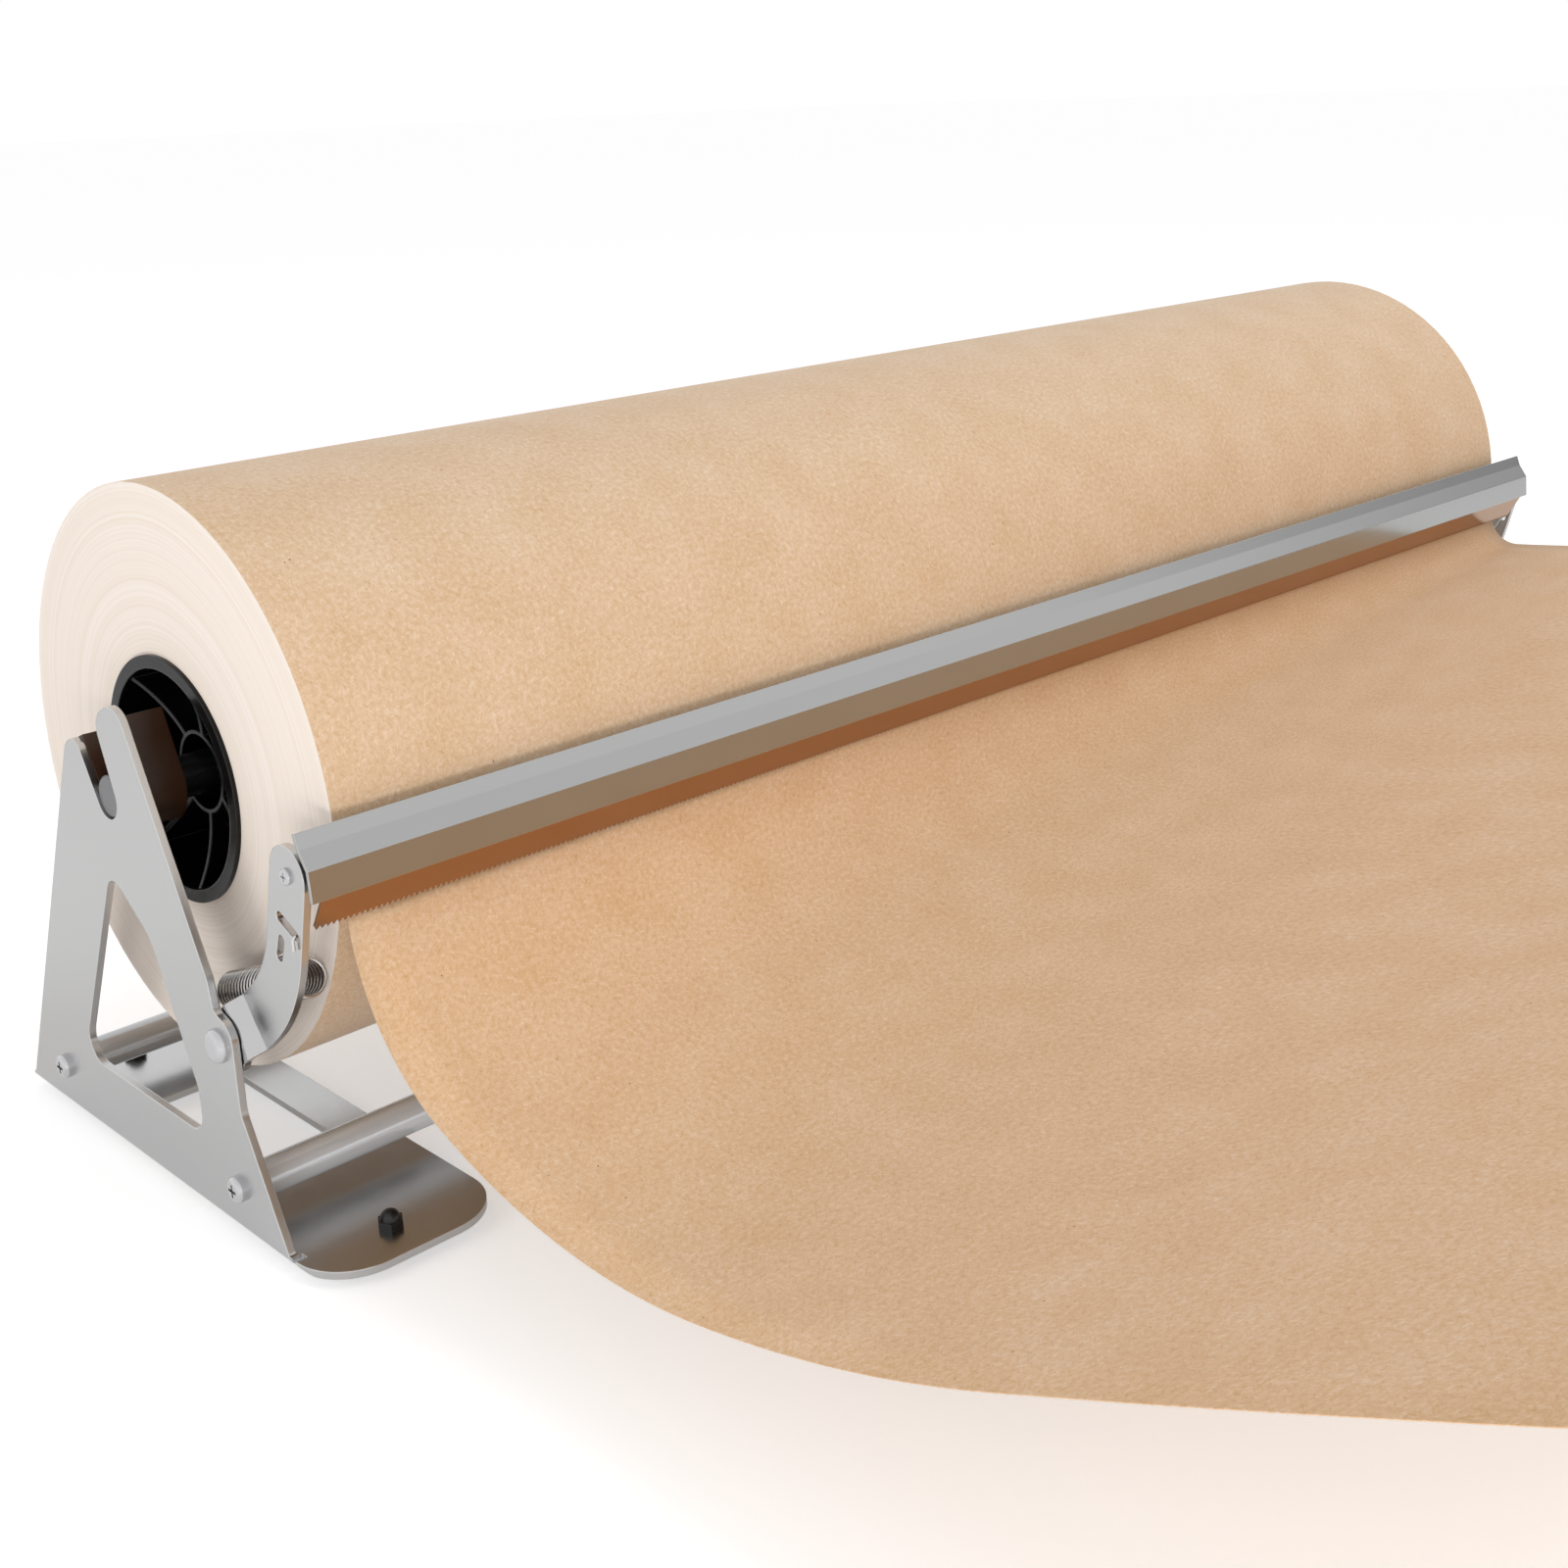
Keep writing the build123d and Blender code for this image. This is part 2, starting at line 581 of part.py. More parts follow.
with BuildPart() as paper_roll:
    with BuildSketch(axle_plane.offset(-ROLL_HALF)):
        Circle(ROLL_RADIUS)
        Circle(CORE_RADIUS + FIT, mode=Mode.SUBTRACT)
    extrude(amount=ROLL_WIDTH)
paper_roll.part.label = "paper_roll"
export_step(paper_roll.part, "parts/paper_roll.step")


# Cutter bar profile
def down(start, length, tilt):
    """Step from a spot down a facet that leans by a tilt."""
    turn = math.radians(tilt)
    return (start[0] - length * math.sin(turn), start[1] - length * math.cos(turn))


bar_top = (-ROLL_RADIUS - BAR_TOP_STANDOFF, BAR_TOP_RISE)
bar_upper_fold = down(bar_top, BAR_TOP_FACET, BAR_TOP_TILT)
bar_lower_fold = down(bar_upper_fold, BAR_MIDDLE_FACET, BAR_MIDDLE_TILT)
bar_edge = down(bar_lower_fold, BAR_LOWER_FACET, BAR_LOWER_TILT)

# Cutter bar with an end tab on each arm
with BuildPart() as cutter_bar:
    with BuildSketch(axle_plane.offset(-BAR_HALF)):
        with BuildLine():
            Polyline(bar_top, bar_upper_fold, bar_lower_fold, bar_edge)
            offset(amount=BAR_SHEET, side=Side.LEFT)
        make_face()
    extrude(amount=2 * BAR_HALF)
    for side in (-1, 1):
        with BuildSketch(axle_plane.offset(side * ARM_INNER)):
            lower_turn = math.radians(BAR_LOWER_TILT)
            inset = (BAR_SHEET / 2) * math.cos(lower_turn)
            with BuildLine():
                Line(
                    (bar_lower_fold[0] + inset, bar_lower_fold[1]),
                    (bar_edge[0] + inset, bar_edge[1] + BAR_SHEET),
                )
            with Locations(ARM_SCREW):
                Circle(TAB_RADIUS)
            make_hull()
            with Locations(ARM_SCREW):
                Circle(ARM_SCREW_RADIUS + FIT, mode=Mode.SUBTRACT)
        extrude(amount=-side * BAR_SHEET)
cutter_bar.part.label = "cutter_bar"
export_step(cutter_bar.part, "parts/cutter_bar.step")

# Serrated blade: a leg behind the bar and a toothed strip that leans back
lower_turn = math.radians(BAR_LOWER_TILT)
leg_spot = (
    bar_edge[0] + BAR_SHEET * math.cos(lower_turn),
    bar_edge[1] - BAR_SHEET * math.sin(lower_turn),
)
leg_plane = Plane(
    origin=place(0, leg_spot),
    x_dir=(1, 0, 0),
    z_dir=(0, -math.cos(lower_turn), math.sin(lower_turn)),
)
strip_turn = math.radians(BLADE_TILT)
strip_plane = Plane(
    origin=place(0, leg_spot),
    x_dir=(1, 0, 0),
    z_dir=(0, -math.cos(strip_turn), -math.sin(strip_turn)),
)
tooth_count = int(2 * BLADE_HALF / TOOTH_PITCH)
with BuildPart() as serrated_blade:
    with BuildSketch(leg_plane):
        Rectangle(2 * BLADE_HALF, BLADE_LEG, align=(Align.CENTER, Align.MIN))
    extrude(amount=-BLADE_SHEET)
    with BuildSketch(strip_plane):
        teeth = [(-BLADE_HALF, 0)]
        for index in range(tooth_count):
            teeth.append((index * TOOTH_PITCH - BLADE_HALF, TOOTH_DEPTH - BLADE_DROP))
            teeth.append(((index + 0.5) * TOOTH_PITCH - BLADE_HALF, -BLADE_DROP))
        teeth.append((BLADE_HALF, TOOTH_DEPTH - BLADE_DROP))
        teeth.append((BLADE_HALF, 0))
        with BuildLine():
            Polyline(*teeth, close=True)
        make_face()
    extrude(amount=-BLADE_SHEET)
serrated_blade.part.label = "serrated_blade"
export_step(serrated_blade.part, "parts/serrated_blade.step")

# Cutter arms, joggled so the upper limb stands inside the end frame
with BuildLine() as arm_path:
    FilletPolyline(ARM_SCREW, ARM_KNEE, PIVOT, radius=ARM_KNEE_RADIUS)
with BuildSketch() as arm_outline:
    SlotArc(arm_path.wire(), ARM_WIDTH)
    with Locations(PIVOT):
        Circle(ARM_EAR_RADIUS)

joggle_turn = math.radians(JOGGLE_TILT)
joggle_plane = Plane(
    origin=(0, AXLE_Y - PIVOT_FORWARD, AXLE_Z - PIVOT_DROP),
    x_dir=(0, -math.cos(joggle_turn), math.sin(joggle_turn)),
    z_dir=(0, math.sin(joggle_turn), math.cos(joggle_turn)),
)
arm_span = PIVOT_FORWARD + PIVOT_DROP
with BuildPart() as left_cutter_arm:
    with BuildSketch(joggle_plane):
        with BuildLine():
            FilletPolyline(
                (-arm_span, SHEET / 2 - EAR_FACE),
                (JOGGLE_START, SHEET / 2 - EAR_FACE),
                (JOGGLE_START + JOGGLE_RUN, SHEET / 2 - ARM_FACE),
                (arm_span, SHEET / 2 - ARM_FACE),
                radius=JOGGLE_RADIUS,
            )
            offset(amount=SHEET / 2)
        make_face()
    extrude(amount=arm_span, both=True)
    with BuildSketch(axle_plane.offset(-FRAME_HALF)):
        add(arm_outline.sketch)
        with Locations(PIVOT):
            Circle(RIVET_RADIUS + FIT, mode=Mode.SUBTRACT)
        with Locations(ARM_SCREW):
            Circle(ARM_SCREW_RADIUS + FIT, mode=Mode.SUBTRACT)
        for first, last in ((UPPER_SLOT_BACK, UPPER_SLOT_FRONT), (LOWER_SLOT_TOP, LOWER_SLOT_END)):
            centre = ((first[0] + last[0]) / 2, (first[1] + last[1]) / 2)
            SlotCenterPoint(centre, last, SLOT_WIDTH, mode=Mode.SUBTRACT)
    extrude(amount=FRAME_HALF - ARM_INNER + OVERRUN, mode=Mode.INTERSECT)
left_cutter_arm.part.label = "left_cutter_arm"
export_step(left_cutter_arm.part, "parts/left_cutter_arm.step")

with BuildPart() as right_cutter_arm:
    mirror(left_cutter_arm.part, about=Plane.YZ)
right_cutter_arm.part.label = "right_cutter_arm"
export_step(right_cutter_arm.part, "parts/right_cutter_arm.step")

# Screws and nuts that hold the bar to the arms
arm_stack = SHEET + BAR_SHEET
bar_screw = pan_screw(
    ARM_HEAD_RADIUS,
    ARM_HEAD_HEIGHT,
    ARM_SCREW_RADIUS,
    arm_stack + ARM_NUT_HEIGHT + ARM_SCREW_TAIL,
)
with BuildPart() as cutter_bar_screws:
    with Locations(*[outward(side, ARM_FACE, ARM_SCREW) for side in (-1, 1)]):
        add(bar_screw)
cutter_bar_screws.part.label = "cutter_bar_screws"
export_step(cutter_bar_screws.part, "parts/cutter_bar_screws.step")

with BuildPart() as cutter_bar_nuts:
    for side in (-1, 1):
        with BuildSketch(outward(side, ARM_FACE - arm_stack, ARM_SCREW)):
            RegularPolygon(ARM_NUT_ACROSS / 2, 6, major_radius=False)
            Circle(ARM_SCREW_RADIUS + FIT, mode=Mode.SUBTRACT)
        extrude(amount=-ARM_NUT_HEIGHT)
cutter_bar_nuts.part.label = "cutter_bar_nuts"
export_step(cutter_bar_nuts.part, "parts/cutter_bar_nuts.step")

# Pivot rivets: domed head outside, shank through both sheets, upset tail inside
with BuildPart() as left_pivot_rivet:
    with BuildSketch(outward(-1, FRAME_HALF, PIVOT)):
        Circle(RIVET_HEAD_RADIUS)
    extrude(amount=RIVET_HEAD_HEIGHT)
    fillet(left_pivot_rivet.edges().sort_by(Axis.X)[0], RIVET_HEAD_ROUND)
    with BuildSketch(outward(-1, FRAME_HALF, PIVOT)):
        Circle(RIVET_RADIUS)
    extrude(amount=-(FRAME_HALF - EAR_INNER + RIVET_GAP))
    with BuildSketch(outward(-1, EAR_INNER - RIVET_GAP, PIVOT)):
        Circle(RIVET_TAIL_RADIUS)
    extrude(amount=-RIVET_TAIL_HEIGHT)
left_pivot_rivet.part.label = "left_pivot_rivet"
export_step(left_pivot_rivet.part, "parts/left_pivot_rivet.step")

with BuildPart() as right_pivot_rivet:
    mirror(left_pivot_rivet.part, about=Plane.YZ)
right_pivot_rivet.part.label = "right_pivot_rivet"
export_step(right_pivot_rivet.part, "parts/right_pivot_rivet.step")

# Spring posts on the inner faces of the end frames
with BuildPart() as left_spring_post:
    with BuildSketch(outward(-1, FRAME_INNER, POST)):
        Circle(POST_RADIUS)
    extrude(amount=-(FRAME_INNER - COIL_REAR_FACE + POST_CLEAR))
    with BuildSketch(outward(-1, COIL_REAR_FACE - POST_CLEAR, POST)):
        Circle(POST_HEAD_RADIUS)
    extrude(amount=-POST_HEAD)
left_spring_post.part.label = "left_spring_post"
export_step(left_spring_post.part, "parts/left_spring_post.step")

with BuildPart() as right_spring_post:
    mirror(left_spring_post.part, about=Plane.YZ)
right_spring_post.part.label = "right_spring_post"
export_step(right_spring_post.part, "parts/right_spring_post.step")

# Springs: a loop on the post, open coils and a hook through the arm's slot
coil_rear = place(-COIL_REAR_FACE, (-COIL_REAR_FORWARD, -COIL_REAR_DROP))
coil_front = place(-COIL_FRONT_FACE, (COIL_FRONT_INSET - ROLL_RADIUS, -COIL_FRONT_DROP))
coil_axis = (coil_front - coil_rear).normalized()
coil_side = Vector(1, 0, 0).cross(coil_axis).normalized()
coil_over = coil_axis.cross(coil_side)
coil_pitch = (coil_front - coil_rear).length / COIL_TURNS


def coil_station(turns):
    """Give the point and the direction of the wire after some turns of the coil."""
    turn = 2 * math.pi * turns
    spoke = coil_side * math.cos(turn) + coil_over * math.sin(turn)
    around = coil_over * math.cos(turn) - coil_side * math.sin(turn)
    heading = around * (2 * math.pi * COIL_RADIUS) + coil_axis * coil_pitch
    return coil_rear + coil_axis * (coil_pitch * turns) + spoke * COIL_RADIUS, heading.normalized()


def biarc(first, last):
    """Join two stations by two arcs that share a tangent where they meet."""
    (start, away), (end, home) = first, last
    span = end - start
    both = away + home
    spread = 2 * (1 - away.dot(home))
    along = span.dot(both)
    reach = (math.sqrt(along * along + spread * span.dot(span)) - along) / spread
    middle = (start + end + (away - home) * reach) / 2
    first_arc = TangentArc(start, middle, tangent=away)
    TangentArc(middle, end, tangent=first_arc % 1)


loop_radius = POST_RADIUS + LOOP_CLEAR + WIRE_RADIUS
loop_centre = place(-COIL_REAR_FACE, POST)
slot_spot = UPPER_SLOT_FRONT
leg_end = place(HOOK_CLEAR + WIRE_RADIUS - ARM_INNER, slot_spot)
leg_way = (place(-COIL_FRONT_FACE, slot_spot) - coil_front).normalized()
leg_start = leg_end - leg_way * (HOOK_BEND + HOOK_LEG)
bend_in = leg_end - leg_way * HOOK_BEND
bend_out = leg_end - Vector(HOOK_BEND, 0, 0)
hook_out = place(-ARM_FACE - HOOK_CLEAR - WIRE_RADIUS, slot_spot)
tip_in = hook_out + Vector(HOOK_BEND, 0, 0)
tip_start = hook_out - Vector(0, 0, HOOK_BEND)
tip_end = tip_start - Vector(0, 0, HOOK_TIP)

with BuildPart() as left_arm_spring:
    with BuildLine() as wire_path:
        loop_open = loop_centre - Vector(0, 0, loop_radius)
        Line(loop_open - Vector(0, 2 * WIRE_RADIUS, 0), loop_open)
        loop_back = loop_centre + Vector(0, loop_radius, 0)
        loop_top = loop_centre + Vector(0, 0, loop_radius)
        TangentArc(loop_open, loop_back, tangent=(0, 1, 0))
        TangentArc(loop_back, loop_top, tangent=(0, 0, 1))
        stations = [(loop_top, Vector(0, -1, 0))]
        stations += [coil_station(half / 2) for half in range(2 * COIL_TURNS + 1)]
        stations += [(leg_start, leg_way)]
        for station in range(len(stations) - 1):
            biarc(stations[station], stations[station + 1])
        Line(leg_start, bend_in)
        TangentArc(bend_in, bend_out, tangent=leg_way)
        Line(bend_out, tip_in)
        TangentArc(tip_in, tip_start, tangent=(-1, 0, 0))
        Line(tip_start, tip_end)
    with BuildSketch(Plane(origin=wire_path.line @ 0, z_dir=wire_path.line % 0)):
        Circle(WIRE_RADIUS)
    sweep(path=wire_path.line)
left_arm_spring.part.label = "left_arm_spring"
export_step(left_arm_spring.part, "parts/left_arm_spring.step")

# Least gap of the wire to itself, on points along its middle
wire = wire_path.wire()
wire_points = [wire @ (step / 1500) for step in range(1501)]
apart = int(math.pi * COIL_RADIUS / wire.length * 1500)
least = min(
    (wire_points[one] - wire_points[other]).length
    for one in range(0, 1501, 2)
    for other in range(one + apart, 1501, 2)
)
print("spring turns", COIL_TURNS, "least gap of the wire to itself", round(least - 2 * WIRE_RADIUS, 2))

with BuildPart() as right_arm_spring:
    mirror(left_arm_spring.part, about=Plane.YZ)
right_arm_spring.part.label = "right_arm_spring"
export_step(right_arm_spring.part, "parts/right_arm_spring.step")

# Drawn sheet: one band of lines and arcs at each edge, joined by straight rulings
wrap_radius = ROLL_RADIUS + PAPER_CLEAR


def on_roll(angle):
    """Give the spot on the sheet's wrap round the roll, above level at the front."""
    turn = math.radians(angle)
    return (-wrap_radius * math.cos(turn), wrap_radius * math.sin(turn))


left_stops = [
    (-ROLL_RADIUS - LEFT_TEETH_STANDOFF, -LEFT_TEETH_DROP),
    (-ROLL_RADIUS - LEFT_FOLD_STANDOFF, -LEFT_FOLD_DROP),
    (-LEFT_SAG_FORWARD, -LEFT_SAG_DROP),
    (-LEFT_RISE_FORWARD, -LEFT_RISE_DROP),
    (-LEFT_END_FORWARD, LEFT_END_RISE),
]
right_stops = [
    (-ROLL_RADIUS - RIGHT_TEETH_STANDOFF, -RIGHT_TEETH_DROP),
    (-ROLL_RADIUS - RIGHT_FOLD_STANDOFF, -RIGHT_FOLD_DROP),
    (-RIGHT_SAG_FORWARD, -RIGHT_SAG_DROP),
    (-RIGHT_RISE_FORWARD, RIGHT_RISE_RISE),
    (-RIGHT_END_FORWARD, RIGHT_END_RISE),
]
with BuildPart() as paper_sheet:
    for side, stops in ((-1, left_stops), (1, right_stops)):
        with BuildSketch(axle_plane.offset(side * ROLL_HALF)):
            with BuildLine() as band:
                heading = on_roll(WRAP_ANGLE - 90)
                stops = [on_roll(WRAP_ANGLE), on_roll(LEAVE_ANGLE)] + stops
                for start, end in zip(stops, stops[1:]):
                    heading = TangentArc(start, end, tangent=heading) % 1
                print("sheet edge", side, "length", round(band.wire().length, 1))
                offset(amount=PAPER, side=Side.RIGHT)
            make_face()
    loft(ruled=True)
paper_sheet.part.label = "paper_sheet"
export_step(paper_sheet.part, "parts/paper_sheet.step")
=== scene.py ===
"""Studio scene of a counter paper roll dispenser with a sprung, serrated tear-off bar."""

import logging
import math
from dataclasses import dataclass
from enum import Enum
from typing import Any

import bmesh
import bpy
from mathutils import Matrix, Vector


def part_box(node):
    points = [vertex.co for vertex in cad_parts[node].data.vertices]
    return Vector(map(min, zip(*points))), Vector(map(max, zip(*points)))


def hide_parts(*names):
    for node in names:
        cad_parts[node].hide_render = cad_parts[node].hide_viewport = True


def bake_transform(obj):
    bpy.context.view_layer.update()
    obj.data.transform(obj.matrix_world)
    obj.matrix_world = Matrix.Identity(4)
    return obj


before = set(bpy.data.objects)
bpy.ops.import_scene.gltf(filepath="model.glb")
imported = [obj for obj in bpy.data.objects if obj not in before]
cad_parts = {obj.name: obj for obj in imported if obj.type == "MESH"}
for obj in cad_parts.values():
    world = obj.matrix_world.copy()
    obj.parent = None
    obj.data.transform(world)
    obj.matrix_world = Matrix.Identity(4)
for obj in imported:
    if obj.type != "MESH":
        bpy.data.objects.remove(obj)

LOG = logging.getLogger("paper_roll_dispenser")
MM = 0.001
# Middle of the axle, from which the paper, the springs and the camera are placed
AXLE: Vector = sum(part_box("axle_rod"), Vector()) / 2
ROLL_RADIUS = 0.1295
ROLL_HALF = 0.4572
# Values that a noise texture mostly stays between
NOISE_LOW, NOISE_HIGH = 0.3, 0.7
# Cosine of the bend at which the painted highlight on a rounded edge starts, and at which it is full
EDGE_START, EDGE_FULL = 0.97, 0.78
BEVEL_SAMPLES = 6
# Half turn under which an arc counts as straight, in radians
STRAIGHT = 1e-6

Spot = tuple[float, float]
Place = tuple[float, float, float]


def to_linear(code: str) -> tuple[float, float, float, float]:
    """Turn an sRGB hex colour into linear light.

    Args:
        code: Six hex digits, with or without a leading hash.

    Returns:
        Red, green and blue as linear values, and an alpha of 1.
    """
    digits = code.lstrip("#")
    parts = [int(digits[at : at + 2], 16) / 255 for at in (0, 2, 4)]
    linear = [
        part / 12.92 if part <= 0.04045 else ((part + 0.055) / 1.055) ** 2.4 for part in parts
    ]
    return (linear[0], linear[1], linear[2], 1.0)


def add_node(
    tree: bpy.types.NodeTree,
    kind: str,
    settings: dict[str | int, Any] | None = None,
    links: dict[str | int, bpy.types.NodeSocket] | None = None,
) -> bpy.types.Node:
    """Add one shader node with its settings and its incoming links.

    Args:
        tree: Node tree of the material or the world.
        kind: Blender's name of the node type.
        settings: Properties of the node, or values of its sockets.
        links: Sockets that feed its inputs.

    Returns:
        The new node.
    """
    node = tree.nodes.new(kind)
    for name, value in (settings or {}).items():
        if isinstance(name, str) and name[0].islower():
            setattr(node, name, value)
        else:
            node.inputs[name].default_value = value
    for name, socket in (links or {}).items():
        tree.links.new(socket, node.inputs[name])
    return node


def add_object(name: str, data: bpy.types.ID) -> bpy.types.Object:
    """Put a new object with its mesh, curve, lamp or camera in the scene."""
    thing = bpy.data.objects.new(name, data)
    bpy.context.scene.collection.objects.link(thing)
    return thing


def empty_tree(owner: bpy.types.Material | bpy.types.World) -> bpy.types.NodeTree:
    """Give a material or a world a node tree with nothing in it."""
    owner.use_nodes = True
    owner.node_tree.nodes.clear()
    return owner.node_tree


def new_material(name: str) -> tuple[bpy.types.Material, bpy.types.NodeTree, bpy.types.Node]:
    """Start a material with one principled shader.

    Args:
        name: Name of the real finish.

    Returns:
        The material, its tree and its shader.
    """
    material = bpy.data.materials.new(name)
    tree = empty_tree(material)
    shader = add_node(tree, "ShaderNodeBsdfPrincipled")
    add_node(tree, "ShaderNodeOutputMaterial", links={"Surface": shader.outputs["BSDF"]})
    return material, tree, shader


def add_edge_highlights(
    tree: bpy.types.NodeTree, rounded: bpy.types.Node, tone: bpy.types.Node, edge: str
) -> bpy.types.Node:
    """Paint a highlight along the edges, where the rounded normal leaves the flat one.

    Args:
        tree: Node tree of the material.
        rounded: Bevel node of the material.
        tone: Colour mix of the flat faces.
        edge: Colour of the highlight painted on the edges, sRGB hex.

    Returns:
        The colour mix of faces and edges.
    """
    facing = add_node(
        tree,
        "ShaderNodeVectorMath",
        {"operation": "DOT_PRODUCT"},
        {0: rounded.outputs[0], 1: add_node(tree, "ShaderNodeNewGeometry").outputs["Normal"]},
    )
    # Painted highlight: the edges take the edge colour as the rounded normal turns away from the flat one
    highlight_share = add_node(
        tree,
        "ShaderNodeMapRange",
        {"From Min": EDGE_START, "From Max": EDGE_FULL, "To Min": 0.0, "To Max": 1.0},
        {"Value": facing.outputs["Value"]},
    )
    return add_node(
        tree,
        "ShaderNodeMix",
        {"data_type": "RGBA", 7: to_linear(edge)},
        {0: highlight_share.outputs[0], 6: tone.outputs[2]},
    )


class Lay(Enum):
    """How the kraft paper lies."""

    WOUND = "wound"
    LEADING = "leading"
    DRAWN = "drawn"


@dataclass(frozen=True)
class MetalFinish:
    """Bare, plated or lacquered metal with a grain and faint handling marks.

    Attributes:
        name: Common name of the metal and how its surface was made.
        colour: Reflected colour, sRGB hex.
        roughness: Middle of the roughness.
        spread: How far the grain moves the roughness.
        grain: Length of a grain mark along X, Y and Z, in millimetres.
        bump: Height of the grain, in millimetres.
        edge: Rounding that the eye sees on sheared edges, in millimetres.
        edge_highlight: Colour of the highlight painted along the rounded edges, sRGB hex.
        gap_shade: Colour of the shade painted between the turns of a coil, sRGB hex, if the piece is one.
        metallic: Share of the light that is mirrored, the rest being scattered by flake.
        patch: Size of a handling mark, in millimetres.
        patch_share: Share of the handling marks beside the grain.
        dulled: Brightness of the dullest patches against the clean metal.
        coil_band: Heights between which the shade painted in a coil gives way to the wire's own colour.
    """

    name: str
    colour: str
    roughness: float
    spread: float
    grain: Place
    bump: float
    edge: float
    edge_highlight: str
    gap_shade: str | None = None
    metallic: float = 1.0
    patch: float = 40.0
    patch_share: float = 0.4
    dulled: float = 0.93
    coil_band: Spot = (0.62, 0.86)

    def material(self) -> bpy.types.Material:
        """Build the material."""
        material, tree, shader = new_material(self.name)
        place = add_node(tree, "ShaderNodeTexCoord").outputs["Object"]
        scale = [1 / (size * MM) for size in self.grain]
        drawn = add_node(tree, "ShaderNodeMapping", {"Scale": scale}, {"Vector": place})
        grain = add_node(
            tree, "ShaderNodeTexNoise", {"Scale": 1.0, "Detail": 3.0}, {"Vector": drawn.outputs["Vector"]}
        )
        marks = add_node(
            tree, "ShaderNodeTexNoise", {"Scale": 1 / (self.patch * MM), "Detail": 4.0}, {"Vector": place}
        )
        both = add_node(
            tree,
            "ShaderNodeMix",
            {"data_type": "FLOAT", 0: self.patch_share},
            {2: grain.outputs[0], 3: marks.outputs[0]},
        )
        rough = add_node(
            tree,
            "ShaderNodeMapRange",
            {
                "From Min": NOISE_LOW,
                "From Max": NOISE_HIGH,
                "To Min": self.roughness - self.spread,
                "To Max": self.roughness + self.spread,
            },
            {"Value": both.outputs[0]},
        )
        dark = tuple(part * self.dulled for part in to_linear(self.colour)[:3]) + (1.0,)
        tone = add_node(
            tree,
            "ShaderNodeMix",
            {"data_type": "RGBA", 6: dark, 7: to_linear(self.colour)},
            {0: both.outputs[0]},
        )
        round_edge = add_node(
            tree, "ShaderNodeBevel", {"samples": BEVEL_SAMPLES, "Radius": self.edge * MM}
        )
        # The rounded edges are painted lighter, as a highlight
        tone = add_edge_highlights(tree, round_edge, tone, self.edge_highlight)
        if self.gap_shade:
            # Painted shade: the map gives how far a place stands out of the shade between the turns, and
            # the wire is painted dark there
            spot = add_node(tree, "ShaderNodeUVMap", {"uv_map": "crest"}).outputs["UV"]
            height = add_node(tree, "ShaderNodeSeparateXYZ", links={0: spot})
            low, high = self.coil_band
            clear = add_node(
                tree,
                "ShaderNodeMapRange",
                {"From Min": low, "From Max": high},
                {"Value": height.outputs[1]},
            )
            tone = add_node(
                tree,
                "ShaderNodeMix",
                {"data_type": "RGBA", 6: to_linear(self.gap_shade)},
                {0: clear.outputs[0], 7: tone.outputs[2]},
            )
        bump = add_node(
            tree,
            "ShaderNodeBump",
            {"Strength": 0.35, "Distance": self.bump * MM},
            {"Height": grain.outputs[0], "Normal": round_edge.outputs[0]},
        )
        shader.inputs["Metallic"].default_value = self.metallic
        tree.links.new(tone.outputs[2], shader.inputs["Base Color"])
        tree.links.new(rough.outputs[0], shader.inputs["Roughness"])
        tree.links.new(bump.outputs[0], shader.inputs["Normal"])
        return material


